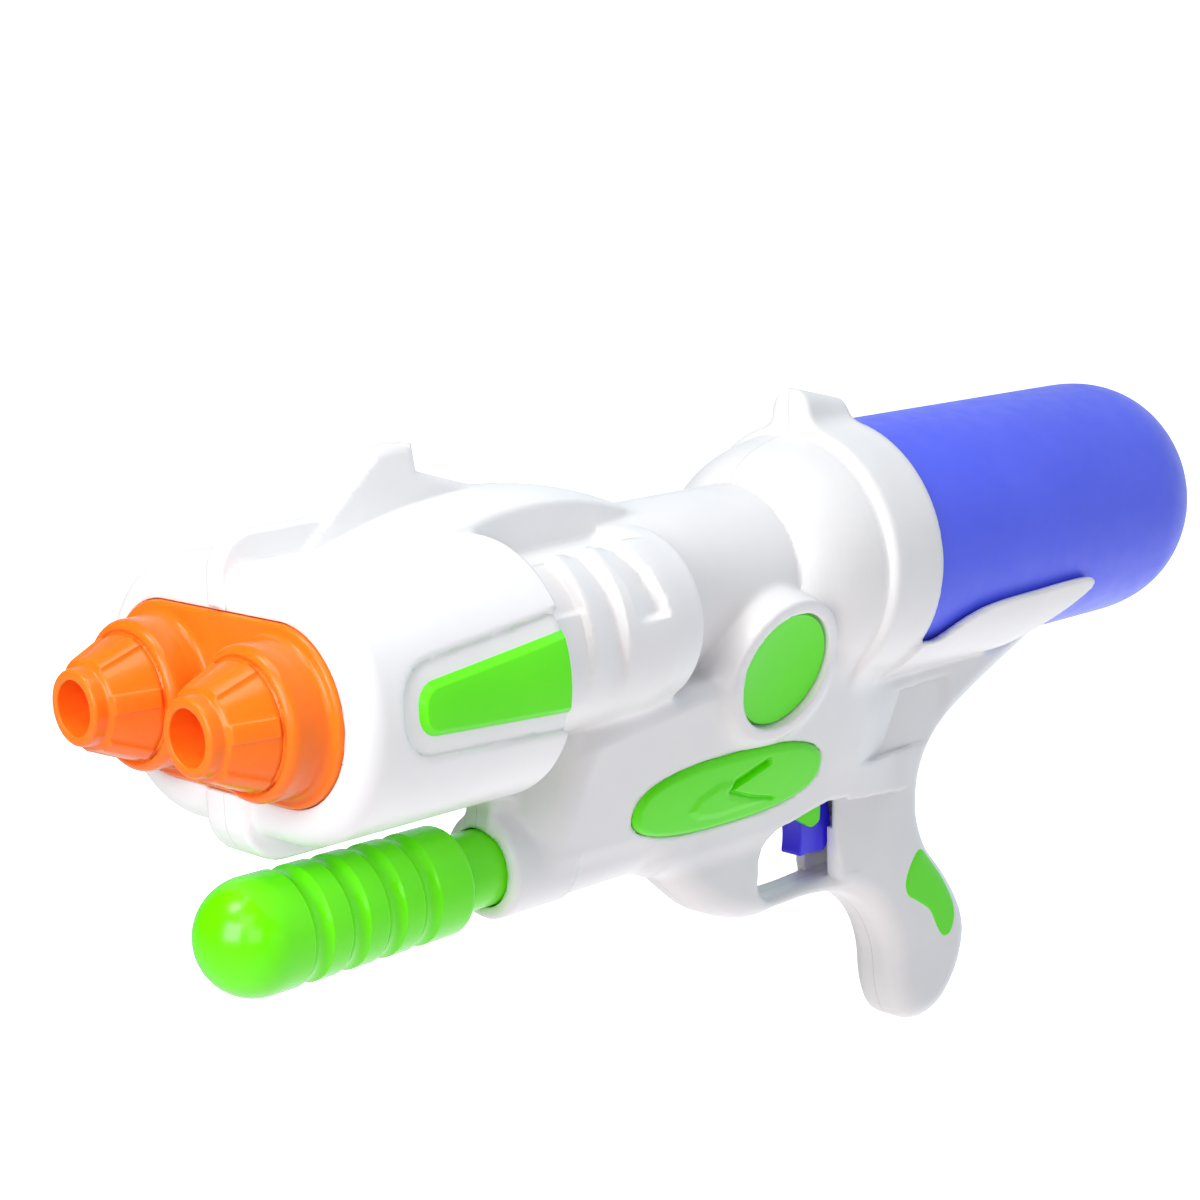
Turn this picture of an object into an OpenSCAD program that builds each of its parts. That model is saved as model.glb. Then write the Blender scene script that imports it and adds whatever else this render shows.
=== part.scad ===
// Air-pressure water squirter: rear tank, two-part moulded body, pump grip under the nose, twin nozzles.
// Lengths run along X from the collar's rear edge towards the muzzle and heights from the barrel axis.
// The finished part is set down with its origin in the middle of the hand grip.

/* [Tank] */
// Outside radius of the tank
tank_r = 45; // [42:0.5:48]
// Length of the tank behind the collar
tank_len = 177; // [150:1:190]
// Length of the rounded tank end
tank_end_len = 40; // [30:1:46]
// Wall of the blow-moulded tank
tank_wall = 1.8; // [1.2:0.1:2.6]
// Radius of the tank's screw neck
tank_neck_r = 17.5; // [15:0.5:20]
// Length of the tank's screw neck
tank_neck_len = 22; // [18:1:26]
// Running gap around the tank, which turns to unscrew
tank_gap = 0.5; // [0.3:0.1:1]

/* [Barrel] */
// Length of the collar that takes the tank
collar_len = 25; // [20:1:30]
// Wall of the collar around the tank
collar_wall = 1.6; // [1.2:0.1:3]
// Length of the domed shoulder in front of the collar
shoulder_len = 30; // [24:1:36]
// Radius of the barrel neck
neck_r = 30.5; // [28:0.5:33]
// Wall of the moulded body
wall = 3; // [2:0.1:4]
// Height of the rounded ear on top of the collar
ear_h = 12.4; // [9:0.1:14]

/* [Nose housing] */
// Rear face of the ribbed drum
drum_x = 118; // [112:1:124]
// Corner radius of the drum's pill-shaped section
drum_r = 30; // [28:0.5:31]
// Half distance between the drum's corner centres
drum_c = 18; // [14:0.5:22]
// Depth of the gills in the drum's sides
gill_t = 2.2; // [1:0.1:2.5]
// Rear edge of the shroud
shroud_x = 190; // [184:1:196]
// Length of the shroud
shroud_len = 79; // [70:1:86]
// Corner radius of the shroud's pill-shaped section
shroud_r = 39.5; // [37:0.5:42]
// Half distance between the shroud's corner centres
shroud_c = 22; // [18:0.5:26]
// Rounding of the shroud's front edge
shroud_round = 9; // [5:0.5:11]
// Height of the nozzle plane below the barrel axis
nose_drop = 5.5; // [2:0.5:8]
// Radius of the bridge that runs from the neck up over the drum
bridge_r = 29; // [26:0.5:30]
// Thickness of the sight fins
fin_t = 8.6; // [6:0.2:10]
// Height of the tall fin above the barrel axis
fin_top = 60.5; // [54:0.5:66]
// Width of the keel under the shroud
keel_w = 19; // [14:0.5:24]
// Depth of the keel below the shroud
keel_drop = 8; // [5:0.5:10]

/* [Nozzles] */
// Distance between the two nozzle axes
nozzle_pitch = 54; // [50:0.5:56]
// Corner radius of the pill-shaped nose plate
plate_r = 27.3; // [25:0.1:29]
// Thickness of the nose plate
plate_t = 8; // [6:0.5:10]
// Radius of the ring that carries a nozzle
base_r = 22.3; // [20:0.1:24]
// Length of that ring in front of the plate
base_len = 14; // [10:0.5:18]
// Length of the nozzle cone
cone_len = 14; // [10:0.5:18]
// Radius at the front of the cone
cone_tip_r = 13.2; // [12:0.1:15]
// Outside radius of the nozzle's tip ring
tip_r = 11.1; // [10:0.1:12]
// Length of the tip ring
tip_len = 4.5; // [3:0.5:7]
// Radius of the nozzle's open mouth
mouth_r = 8.1; // [6:0.1:9]
// Depth of the nozzle's open mouth
mouth_len = 13; // [8:0.5:15]
// Radius of the water passage behind the mouth
passage_r = 4; // [3:0.1:5]
// Width of the six ribs along the cone
rib_w = 5; // [3:0.5:6]
// Radius of the jet's orifice
jet_r = 1; // [0.6:0.1:1.6]

/* [Pump] */
// Pump axis below the barrel axis
pump_drop = 76.4; // [74:0.2:79]
// Radius of the pump housing's front rim
housing_r = 17.2; // [16.5:0.1:19]
// Front face of the pump housing
housing_x = 175; // [170:1:180]
// Radius of the pump rod
rod_r = 12.4; // [11:0.1:12.6]
// Radius of the pump barrel's bore
bore_r = 13; // [12.7:0.1:13.3]
// Wall of the pump barrel
barrel_wall = 1.5; // [1:0.1:1.8]
// Length of the pump barrel
barrel_len = 90; // [84:1:94]
// Radius of the pump grip's bands
grip_band_r = 18; // [16.5:0.1:20]
// Gap between the grip and the housing at rest
grip_gap = 16; // [16:0.5:20]
// Length of one grip band
band_len = 14; // [12:0.5:16]
// Length of the rear grip band
first_band = 18; // [14:0.5:20]
// Number of grip bands
band_count = 5; // [4:1:6]
// Depth of the groove between two bands
groove_depth = 1.5; // [1:0.1:2]
// Width of the groove between two bands
groove_w = 7; // [5:0.5:9]
// Taper of the grip's radius from its dome to its rear edge
grip_taper = 0.6; // [0:0.1:1]

/* [Handle] */
// Thickness of the handle and trigger guard
handle_t = 25; // [22:0.5:28]
// Rounding of the handle's edges
handle_round = 9; // [6:0.5:10]
// Depth of the guard's lowest line below the barrel axis
guard_drop = 121; // [120:0.5:126]
// Depth of the handle's butt below the barrel axis
butt_drop = 183; // [176:1:190]
// Radius of the front of the finger hole
hole_r = 13.5; // [12:0.5:14]
// Lean of the body's flanks
flank_tilt = 17.2; // [15:0.2:19]
// Distance of the flank plane from its pivot line
flank_d = 34.5; // [34:0.1:36]
// Radius of the round side boss
boss_r = 25.5; // [24:0.5:27]
// Radius of the green disc in the boss
disc_r = 20.7; // [18:0.1:22]

/* [Trigger] */
// Thickness of the trigger blade
trigger_t = 9; // [7:0.5:10]
// Radius of the trigger's pivot pin
pin_r = 2; // [1.5:0.1:2.5]
// Running clearance of the trigger on its pin
pin_gap = 0.05; // [0.02:0.01:0.1]
// Radius of the valve body
valve_r = 9; // [8:0.5:9.5]
// Radius of the valve plunger
plunger_r = 2.5; // [2:0.1:3]
// Outside radius of the water and air hoses
hose_r = 3.2; // [3:0.1:3.4]
// Bore radius of the hoses
hose_bore = 2.2; // [2:0.1:2.3]

/* [Fits] */
// Gap around a glued or clipped insert
fit = 0.15; // [0.1:0.05:0.3]
// Free gap around a moving piece
clear = 0.4; // [0.3:0.05:0.6]
// Depth of the insert pockets
pocket = 1.5; // [1:0.1:1.8]
// Radius of a body screw's shank
screw_r = 1.5; // [1.2:0.1:1.8]

/* [Hidden] */
$fn = 64;

// Middle of the hand grip, seen from the collar's rear edge on the barrel axis
grip_at = [-36, 0, -142];
far = 300;
eps = 0.01;

collar_r = tank_r + tank_gap + collar_wall;
ear_len = collar_len + 0.6;
socket_r = neck_r - wall;
neck_front_x = drum_x + 12;
drum_z = -2;
nose_z = -nose_drop;
nose_x = shroud_x + shroud_len;
shroud_top = nose_z + shroud_r;
shroud_foot = nose_z - shroud_r;
nozzle_y = nozzle_pitch / 2;
base_x = nose_x + base_len;
cone_x = base_x + cone_len;
mouth_x = cone_x + tip_len;
spigot_r = passage_r + 5;
pump_z = -pump_drop;
barrel_r = bore_r + barrel_wall;
barrel_x0 = housing_x - 3 - barrel_len;
barrel_x1 = housing_x - 3;
grip_x0 = housing_x + grip_gap;
grip_x1 = grip_x0 + first_band + (band_count - 1) * band_len - 2;
piston_x = barrel_x0 + 20;
handle_h = handle_t / 2;
hole_x = 44;
hole_z = -guard_drop + 5 + hole_r;
hole_rear_x = 14;
slot_rear_x = 2;
flank_z = -16.8;
boss_x = 68;
disc_d = flank_d;
ring_d = flank_d + 2;
trigger_at = [20, hole_z + hole_r + 9];
valve_z = trigger_at[1] + 14;
valve_x = 40;
valve_len = 28;
hose_z = -8;
hose_y = 7;
nipple_bore = 1.2;
nipple_len = 8;
oval_at = [81, -42];
oval_size = [46, 13.6];
border = 5.5;
tray_t = 3.2;
screw_len = 11.5;
// Places of the body screws, as length and height
screw_spots = [[-42, -butt_drop + 12], [-26, -92], [82, -98], [-68, -tank_r - 9],
  [100, -44], [150, -46], [222, shroud_foot - 3]];

function swap(p) = [for (q = p) [q[1], q[0]]];
function arc(x, y, r, a0, a1, n = 8) =
  [for (i = [0:n]) let (a = a0 + (a1 - a0) * i / n) [x + r * cos(a), y + r * sin(a)]];
// Smooth closed curve through a few points, each stretch in n steps
function through(a, b, c, d, t) =
  0.5 * (2 * b + (c - a) * t + (2 * a - 5 * b + 4 * c - d) * t * t + (3 * b - a - 3 * c + d) * t * t * t);
function smooth(p, n = 2) = let (m = len(p))
  [for (i = [0:m - 1]) for (k = [0:n - 1])
    through(p[(i + m - 1) % m], p[i], p[(i + 1) % m], p[(i + 2) % m], k / n)];
// Half width of the flank at a height
function flank_y(z) = (flank_d + (z - flank_z) * sin(flank_tilt)) / cos(flank_tilt);

module from_grip() translate(-grip_at) children();
// Outline of lengths and heights, given a width from y0 to y1
module wide(y0, y1) translate([0, y1, 0]) rotate([90, 0, 0]) linear_extrude(y1 - y0) children();
// Section of widths and heights, drawn out from x0 to x1
module long(x0, x1) translate([x0, 0, 0]) rotate([90, 0, 90]) linear_extrude(x1 - x0) children();
// Profile of lengths and radii, turned about the X axis
module turned(p, angle = 360) rotate([0, 90, 0]) rotate_extrude(angle = angle) polygon(swap(p));
// Left half of a pill-shaped turning, with its corner centres c from the middle
module pill_half(p, c, z, past = 0) translate([0, 0, z]) {
  translate([0, c, 0]) turned(p, 180);
  wide(-past, c) {
    polygon(p);
    mirror([0, 1]) polygon(p);
  }
}
module pill(p, c, z) {
  pill_half(p, c, z);
  mirror([0, 1, 0]) pill_half(p, c, z);
}
module rod_x(x0, x1, r) translate([x0, 0, 0]) rotate([0, 90, 0]) cylinder(h = x1 - x0, r = r);
module rod_y(y0, y1, r) translate([0, y0, 0]) rotate([-90, 0, 0]) cylinder(h = y1 - y0, r = r);
module rod_z(z0, z1, r) translate([0, 0, z0]) cylinder(h = z1 - z0, r = r);
module at_nozzle(side) translate([0, side * nozzle_y, nose_z]) children();
module at_pump() translate([0, 0, pump_z]) children();
// Frame of the leaning flank: Y leaves the flank squarely and Z climbs it
module on_flank() translate([0, 0, flank_z]) rotate([-flank_tilt, 0, 0]) children();

// Collar, domed shoulder and neck, as one turned half
module barrel_half() {
  edge = 1.5;
  top = collar_r - 3.2;
  dome = [for (i = [0:8]) let (t = i / 8)
    [collar_len + shoulder_len * (1 - pow(1 - t, 1.6)), top - (top - neck_r) * pow(t, 1.6)]];
  turned(concat([[0, 0], [0, collar_r - edge], [edge, collar_r], [collar_len - 2.5, collar_r]],
    dome, [[neck_front_x, neck_r], [neck_front_x, 0]]), 180);
}

// Round-topped ear on the collar, which gets lower and narrower to the rear
module ear_half() {
  front_r = 8.5;
  rear_r = 5;
  front_top = collar_r + ear_h;
  rear_top = front_top - 6;
  foot = collar_r - 8;
  rise = atan2(front_top - front_r - rear_top + rear_r, ear_len);
  intersection() {
    union() {
      translate([0, 0, rear_top - rear_r]) rotate([0, 90 - rise, 0])
        cylinder(h = 1.05 * ear_len, r1 = rear_r, r2 = front_r);
      translate([0, 0, foot]) linear_extrude(front_top - front_r - foot)
        polygon([[0, 0], [0, rear_r], [ear_len, front_r], [ear_len, 0]]);
      long(0, ear_len) polygon([[0, foot], [0, collar_r + 2], [front_r, collar_r + 2],
        [front_r + 2, collar_r - 0.4], [front_r + 6, collar_r - 2], [front_r + 6, foot]]);
    }
    translate([0, 0, foot]) cube([ear_len, 30, 40]);
  }
}

drum_round = 5;
drum_profile = concat([[drum_x, 0]], arc(drum_x + drum_round, drum_r - drum_round - 1, drum_round, 180, 105, 5),
  [[drum_x + 18, drum_r], [shroud_x + 4, drum_r], [shroud_x + 4, 0]]);

// Three gills sunk into the drum's sides, each as rear face, front face and foot height
gills = [[drum_x + 18, drum_x + 27, 4], [drum_x + 37, drum_x + 43.5, -12], [drum_x + 52, shroud_x + 1, 9]];
module drum_gills() {
  high = drum_z + drum_r - 2.5;
  difference() {
    for (g = gills) translate([g[0], drum_c, g[2]]) cube([g[1] - g[0], far, high - g[2]]);
    pill_half([[drum_x, 0], [drum_x, drum_r - gill_t], [shroud_x + 2, drum_r - gill_t], [shroud_x + 2, 0]],
      drum_c, drum_z, 1);
  }
}

// Arched bridge from the neck's top over the drum to the shroud, narrowing to the rear
module bridge_half() {
  sweep_r = 138;
  mid_x = drum_x + 60;
  intersection() {
    translate([mid_x, 0, neck_r + 14 - bridge_r - sweep_r]) rotate([90, 0, 0]) rotate([0, 0, 62])
      rotate_extrude(angle = 55) translate([sweep_r, 0]) circle(r = bridge_r);
    linear_extrude(far) polygon([[drum_x - 8, 0], [drum_x - 8, 10], [shroud_x, 20], [shroud_x + 60, 20],
      [shroud_x + 60, 0]]);
  }
}

shroud_profile = concat([[shroud_x, 0], [shroud_x, shroud_r - 0.8], [shroud_x + 0.8, shroud_r]],
  arc(nose_x - shroud_round, shroud_r - shroud_round, shroud_round, 90, 0), [[nose_x, 0]]);

// Low front fin that runs down the shroud's nose, and the tall fin behind it
module fins_half() {
  base = shroud_top - 6;
  fin_bow = 11.5;
  wide(0, fin_t / 2) {
    polygon(concat([[nose_x - 38, base], [nose_x - 6, base], [nose_x - 2, nose_z + plate_r + 2],
      [nose_x + 1.8, nose_z + plate_r + 2]],
      arc(nose_x - fin_bow + 1.6, shroud_top + 8.6 - fin_bow, fin_bow, 4, 88, 6),
      [[nose_x - 36, shroud_top + 8.8]]));
    polygon([[nose_x - 26, base], [nose_x - 36, shroud_top + 9], [nose_x - 56, fin_top], [nose_x - 71, fin_top],
      [nose_x - 72.5, fin_top - 9], [nose_x - 98, neck_r + 13], [nose_x - 98, base]]);
  }
}

// Keel under the shroud, with a curved bow
module keel_half() {
  foot = shroud_foot - keel_drop;
  wide(0, keel_w / 2) polygon(concat([[housing_x + 3, shroud_foot + 6], [housing_x + 3, foot]],
    arc(nose_x - 12, foot + 14, 14, -90, -10, 6),
    [[nose_x + 2, nose_z - plate_r - 1], [nose_x - 8, nose_z - plate_r - 1]]));
}

// Leaning side walls between the barrel and the pump housing, narrowing towards the handle
module flank_half() {
  top = -22;
  floor_z = hole_z + hole_r - 5;
  intersection() {
    long(-40, housing_x) polygon([[0, top], [flank_y(top) - 4, top], [flank_y(top - 14), top - 14],
      [flank_y(floor_z), floor_z], [0, floor_z]]);
    wide(-1, far) polygon([[-30, top], [housing_x, top], [housing_x, pump_z - 4], [118, pump_z - 4],
      [106, floor_z], [-26, floor_z]]);
    translate([0, 0, -far]) linear_extrude(2 * far) polygon([[housing_x, -1], [housing_x, 11],
      [housing_x - 4, 17], [housing_x - 12, 23], [housing_x - 28, 40], [62, 40], [12, 22], [-14, handle_h - 1],
      [-30, handle_h - 2], [-30, -1]]);
  }
  wide(0, keel_w / 2) translate([housing_x - 40, pump_z]) square([40, shroud_foot + 3 - pump_z]);
}

// Pump housing with its stepped front rim
module housing_half() {
  back_r = housing_r - 1;
  rim_x = housing_x - 27;
  at_pump() turned([[96, 0], [96, back_r], [rim_x, back_r], [rim_x + 1, housing_r], [housing_x - 3, housing_r],
    [housing_x, housing_r - 3], [housing_x, 0]], 180);
}

module boss_half() {
  translate([boss_x, 0, 0]) on_flank()
    turned_y([[boss_r, 11], [boss_r, ring_d - 2], [boss_r - 2, ring_d], [0, ring_d], [0, 11]]);
}
// Profile of radii and heights, turned about the Y axis
module turned_y(p) rotate([-90, 0, 0]) rotate_extrude() polygon(p);

// Side outline of trigger guard, hand grip and rear web
module handle_outline() polygon(smooth([
  [104, -78], [112, -89], [101, -95], [90, -105], [77, -115], [60, 0.5 - guard_drop], [44, -guard_drop],
  [26, -guard_drop], [11, -guard_drop - 2], [-1, -guard_drop - 8], [-11, -guard_drop - 18], [-17, -152],
  [-19, 15 - butt_drop], [-24, 4 - butt_drop], [-34, -butt_drop], [-46, 3 - butt_drop], [-56, 13 - butt_drop],
  [-61, -157], [-61, -148], [-56, -137], [-48, -126], [-40, -117], [-35, -107], [-33.5, -97], [-36, -85],
  [-45, -tank_r - 29], [-61, -tank_r - 20], [-82, -tank_r - 11], [-104, -tank_r - 2], [-107, -tank_r],
  [-104, 5 - tank_r], [-60, 4 - tank_r], [0, 2 - tank_r], [60, -50]]));

module handle_solid() {
  minkowski() {
    rotate([90, 0, 0]) linear_extrude(handle_t - 2 * handle_round, center = true)
      offset(delta = -handle_round) handle_outline();
    sphere(r = handle_round, $fn = 16);
  }
}

// Side outline of the tray, as lengths and as shares of the tank radius below its axis
tray_side = [[0, 0.75], [-9, 0.66], [-20, 0.52], [-34, 0.44], [-60, 0.42], [-86, 0.41], [-94, 0.44],
  [-95, 0.53], [-86, 0.69], [-72, 0.91], [-62, 1.2], [-30, 1.38], [2, 1.38]];
// Tray under the tank, with a tongue along each side
module tray_half() {
  r = tank_r + tank_gap;
  intersection() {
    turned([[-100, r], [0, r], [0, r + tray_t], [-100, r + tray_t]], 180);
    wide(-1, far) polygon(smooth([for (q = tray_side) [q[0], -q[1] * tank_r]]));
  }
}

// Finger hole: round in front, with its upper edge rising a little towards the trigger
module trigger_hole() {
  foot = hole_z - hole_r;
  top = hole_z + hole_r;
  wide(-1, far) {
    translate([hole_x, hole_z]) circle(r = hole_r);
    polygon([[hole_rear_x, foot], [hole_x, foot], [hole_x, top], [hole_x - 11, top + 2.5],
      [hole_x - 20, top + 4], [hole_rear_x, top + 3]]);
  }
}

// Slot that the trigger blade swings in, wider above for its yoke
module trigger_slot() {
  yoke_foot = hole_z + 4.5;
  wide(-1, trigger_t / 2 + 2 * clear) translate([slot_rear_x, hole_z - hole_r])
    square([hole_x - slot_rear_x, hole_r + 5]);
  wide(-1, handle_h - 4.8) translate([slot_rear_x - 4, yoke_foot])
    square([hole_x - 4, valve_z + 12 - yoke_foot]);
}

// Finger relief: a ramp that leaves the handle's side on a slanting line and deepens to the hole
module finger_relief() {
  rise = 42.4;
  depth = 3.3;
  run = 28;
  intersection() {
    wide(0, far) polygon([[-17.5, hole_z + 12.5], [3, hole_z - 12], [hole_rear_x + 1, hole_z - hole_r],
      [hole_rear_x + 1, hole_z + hole_r + 2.5]]);
    translate([-17.5, 0, hole_z + 12.5]) rotate([0, -rise, 0]) translate([0, 0, -60]) linear_extrude(120)
      polygon([[-1, handle_h], [run, handle_h - depth], [2 * run, handle_h - depth], [2 * run, far],
        [-1, far]]);
  }
}

// Shade pocket between the tray and the handle, with the bevel of the flank's rear end as its front wall
module web_pocket() {
  depth = 1.5;
  intersection() {
    wide(0, far) polygon([[13, -73], [10, -51.5], [-17, -52.5], [-48, -52.5], [-57, -59], [-43, -68],
      [-27, -76], [-8.5, -75]]);
    translate([-8.5, handle_h - depth, -74]) rotate([0, -30.3, 0]) translate([0, 0, -60]) linear_extrude(120)
      polygon([[-far, 0], [0, 0], [far, 0.41 * far], [far, far], [-far, far]]);
  }
}

module oval(grow = 0) translate(oval_at) rotate(3)
  polygon([for (a = [0:12:348]) let (p = 0.72, c = cos(a), s = sin(a))
    [(oval_size[0] + grow) * sign(c) * pow(abs(c), p), (oval_size[1] + grow) * sign(s) * pow(abs(s), p)]]);

// Side outline of the wedge-shaped shroud insert, which ends at the shroud's rear edge
module wedge(grow = 0) {
  bow = 5.5;
  bow_x = nose_x - 21 - bow;
  polygon(concat([[shroud_x - 1, nose_z - 9 - grow]],
    arc(bow_x, nose_z - 0.5, bow + grow, -80, 0, 4), arc(bow_x, nose_z + 4.5, bow + grow, 0, 80, 4),
    [[shroud_x - 1, nose_z + 15.5 + grow]]));
}

module grip_patch(grow = 0) offset(delta = grow) polygon(smooth([
  [-31, -115], [-39, -122], [-47, -133], [-51, -143], [-49, -151], [-44, -152], [-40, -147], [-36, -140],
  [-29, -135], [-23, -131], [-22, -125], [-26, -118]]));

// Rooms inside the left half
module rooms_half() {
  rod_x(-far, collar_len - 3, tank_r + tank_gap);
  turned([[collar_len - 4, 0], [collar_len - 4, tank_r + tank_gap], [collar_len - 3, tank_r + tank_gap],
    [collar_len + 8, socket_r], [drum_x + 8, socket_r], [drum_x + 8, 0]]);
  drum_room = drum_r - gill_t - wall;
  pill_half([[drum_x + wall, 0], [drum_x + wall, drum_room], [shroud_x + wall + 1, drum_room],
    [shroud_x + wall + 1, 0]], drum_c, drum_z, 1);
  pill_half([[shroud_x + wall, 0], [shroud_x + wall, shroud_r - wall], [nose_x - plate_t - 2, shroud_r - wall],
    [nose_x - plate_t - 2, 0]], shroud_c, nose_z, 1);
  pill_half([[nose_x - plate_t - 4, 0], [nose_x - plate_t - 4, plate_r - 4], [nose_x - plate_t, plate_r - 4],
    [nose_x - plate_t, plate_r + fit], [nose_x + far, plate_r + fit], [nose_x + far, 0]], nozzle_y, nose_z, 1);
  wide(-1, valve_r + fit) polygon([[valve_x - 2, -20], [barrel_x0 - 2, -20], [barrel_x0 - 2, pump_z - 6],
    [valve_x + valve_len + 2, pump_z - 6], [valve_x + valve_len + 2, valve_z - valve_r - fit],
    [valve_x - 2, valve_z - valve_r - fit]]);
  wide(-1, hose_y + hose_r + fit) translate([valve_x + 2, valve_z + valve_r])
    square([barrel_x0 - valve_x - 4, -valve_z - valve_r - 20]);
  flank_room();
  at_pump() {
    rod_x(barrel_x0 - 3, barrel_x1, barrel_r + fit);
    rod_x(barrel_x1 - 1, housing_x + 9, rod_r + clear);
  }
  trigger_hole();
  trigger_slot();
  translate([trigger_at[0], 0, trigger_at[1]]) rod_y(-1, handle_h - 1, pin_r + pin_gap);
  wide(-1, handle_h - wall - 1) polygon([[-44, -120], [-28, -112], [-22, -130], [-28, -150],
    [-30, 20 - butt_drop], [-48, 22 - butt_drop], [-52, -150]]);
}

// Hollow between the barrel and the pump, with a post around each screw
module flank_room() {
  top = -36;
  low = pump_z + barrel_r + wall;
  difference() {
    long(barrel_x0 + 3, housing_x - 4) polygon([[-1, top], [flank_y(top) - 2 * wall, top],
      [flank_y(low) - 1.5 * wall, low], [-1, low]]);
    for (s = screw_spots) translate([s[0], 0, s[1]]) rod_y(-2, far, 3 * screw_r);
  }
}

// Plain length of the shroud's section, at radius r
module shroud_slice(x0, x1, r, past = 0) pill_half([[x0, 0], [x0, r], [x1, r], [x1, 0]], shroud_c, nose_z, past);

// Pockets in the left half for the coloured inserts
module pockets_half() {
  translate([boss_x, 0, 0]) on_flank() rod_y(disc_d - 2, far, disc_r + fit);
  on_flank() wide(flank_d - pocket, far) oval(fit);
  intersection() {
    shroud_slice(shroud_x - 2, nose_x, far);
    difference() {
      wide(0, far) wedge(border);
      shroud_slice(shroud_x - 3, nose_x + 1, shroud_r - 1.6, 1);
    }
  }
  wide(handle_h - pocket - 4, far) grip_patch(fit);
}

module screw_holes(side) for (s = screw_spots) translate([s[0], 0, s[1]]) {
  rod_y(-screw_len + 4, 4, screw_r + eps);
  if (side < 0) rod_y(-far, 4 - screw_len, 2 * screw_r + 0.3);
}

// Left half of the body, from the parting plane outwards
module half_shell() {
  difference() {
    union() {
      barrel_half();
      ear_half();
      difference() {
        pill_half(drum_profile, drum_c, drum_z);
        drum_gills();
      }
      bridge_half();
      pill_half(shroud_profile, shroud_c, nose_z);
      fins_half();
      keel_half();
      flank_half();
      housing_half();
      boss_half();
      tray_half();
      intersection() {
        handle_solid();
        translate([-far, 0, -far]) cube([2 * far, far, 2 * far]);
      }
    }
    rooms_half();
    pockets_half();
    finger_relief();
    web_pocket();
  }
}

module body_left() color("white") from_grip() difference() {
  half_shell();
  screw_holes(1);
}
module body_right() color("white") from_grip() difference() {
  mirror([0, 1, 0]) half_shell();
  screw_holes(-1);
}

// Nose plate with the two rings that carry the nozzles
module nose_plate() color("orangered") from_grip() difference() {
  union() {
    pill([[nose_x - plate_t, 0], [nose_x - plate_t, plate_r], [nose_x, plate_r], [nose_x + 1, plate_r - 1],
      [nose_x + 1, 0]], nozzle_y, nose_z);
    for (side = [-1, 1]) at_nozzle(side)
      turned(concat([[nose_x - 1, 0], [nose_x - 1, base_r + 2.4], [nose_x + 2, base_r + 0.8],
        [base_x - 3, base_r]], arc(base_x - 3, base_r - 3, 3, 90, 0, 4), [[base_x, 0]]));
  }
  for (side = [-1, 1]) at_nozzle(side) {
    rod_x(nose_x - far, base_x + 1, spigot_r + fit);
    rod_x(nose_x - far, base_x - wall, base_r - wall);
  }
}

// Nozzle cone with six flat-topped ribs, an open mouth and a spigot through the nose plate
module nozzle(side) color("darkorange") from_grip() at_nozzle(side) difference() {
  union() {
    turned([[base_x, 0], [base_x, base_r - 2.6], [base_x + 1.5, base_r - 2.8], [cone_x, cone_tip_r],
      [cone_x, tip_r + 0.8], [cone_x + 1, tip_r], [mouth_x - 1, tip_r], [mouth_x, tip_r - 1], [mouth_x, 0]]);
    intersection() {
      for (a = [38:60:338]) rotate([a, 0, 0]) translate([base_x, -rib_w / 2, 0])
        cube([cone_len, rib_w, base_r]);
      turned([[base_x, 0], [base_x, base_r - 1.9], [base_x + 1.5, base_r - 2], [cone_x - 1, cone_tip_r + 0.9],
        [cone_x - 1, 0]]);
    }
    rod_x(nose_x - plate_t - 4, base_x + 1, spigot_r);
  }
  rod_x(mouth_x - mouth_len, mouth_x + 1, mouth_r);
  rod_x(nose_x - plate_t - 5, mouth_x, passage_r);
}
module nozzle_left() nozzle(1);
module nozzle_right() nozzle(-1);

// Jet that is pushed into the passage from the mouth
module jet(side) color("gold") from_grip() at_nozzle(side) difference() {
  front_x = mouth_x - mouth_len;
  rod_x(front_x - 7, front_x - fit, passage_r - fit);
  turned([[front_x - 8, 0], [front_x - 8, passage_r - 0.8], [front_x - 2, jet_r], [front_x, jet_r], [front_x, 0]]);
}
module jet_left() jet(1);
module jet_right() jet(-1);

manifold_x1 = nose_x - plate_t - 4;
manifold_len = 12;
// Cross tube that feeds both nozzles, with an inlet stub at the rear
module manifold() color("gainsboro") from_grip() translate([0, 0, nose_z]) difference() {
  union() {
    for (side = [-1, 1]) translate([0, side * nozzle_y, 0])
      rod_x(manifold_x1 - manifold_len, manifold_x1 + 4, spigot_r + 3);
    translate([manifold_x1 - manifold_len / 2, 0, 0]) rod_y(-nozzle_y, nozzle_y, passage_r + 1.8);
    translate([0, hose_y, 0])
      rod_x(manifold_x1 - manifold_len - nipple_len, manifold_x1 - manifold_len / 2, hose_bore - fit / 2);
  }
  for (side = [-1, 1]) translate([0, side * nozzle_y, 0]) {
    rod_x(manifold_x1, manifold_x1 + 5, spigot_r + fit);
    rod_x(manifold_x1 - manifold_len / 2, manifold_x1 + 1, passage_r);
  }
  translate([manifold_x1 - manifold_len / 2, 0, 0]) rod_y(-nozzle_y, nozzle_y, passage_r);
  translate([0, hose_y, 0])
    rod_x(manifold_x1 - manifold_len - nipple_len - 1, manifold_x1 - manifold_len / 2, nipple_bore);
}

// Outline of the tank as lengths and radii: a full end, a straight side, a shoulder and the screw neck
function tank_side(t) = concat(
  [for (i = [0:10]) let (a = 90 * i / 10)
    [-tank_len + t + (tank_end_len - t) * (1 - pow(sin(90 - a), 0.74)), (tank_r - t) * pow(sin(a), 0.74)]],
  arc(collar_len - 3 - 12 - tank_gap, tank_r - 12, 12 - t, 90, 20, 5),
  [[collar_len - 3 - tank_gap - t, tank_neck_r + 4 - t], [collar_len - 2 - tank_gap - t, tank_neck_r - t]]);
tank_front_x = collar_len + tank_neck_len;

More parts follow.
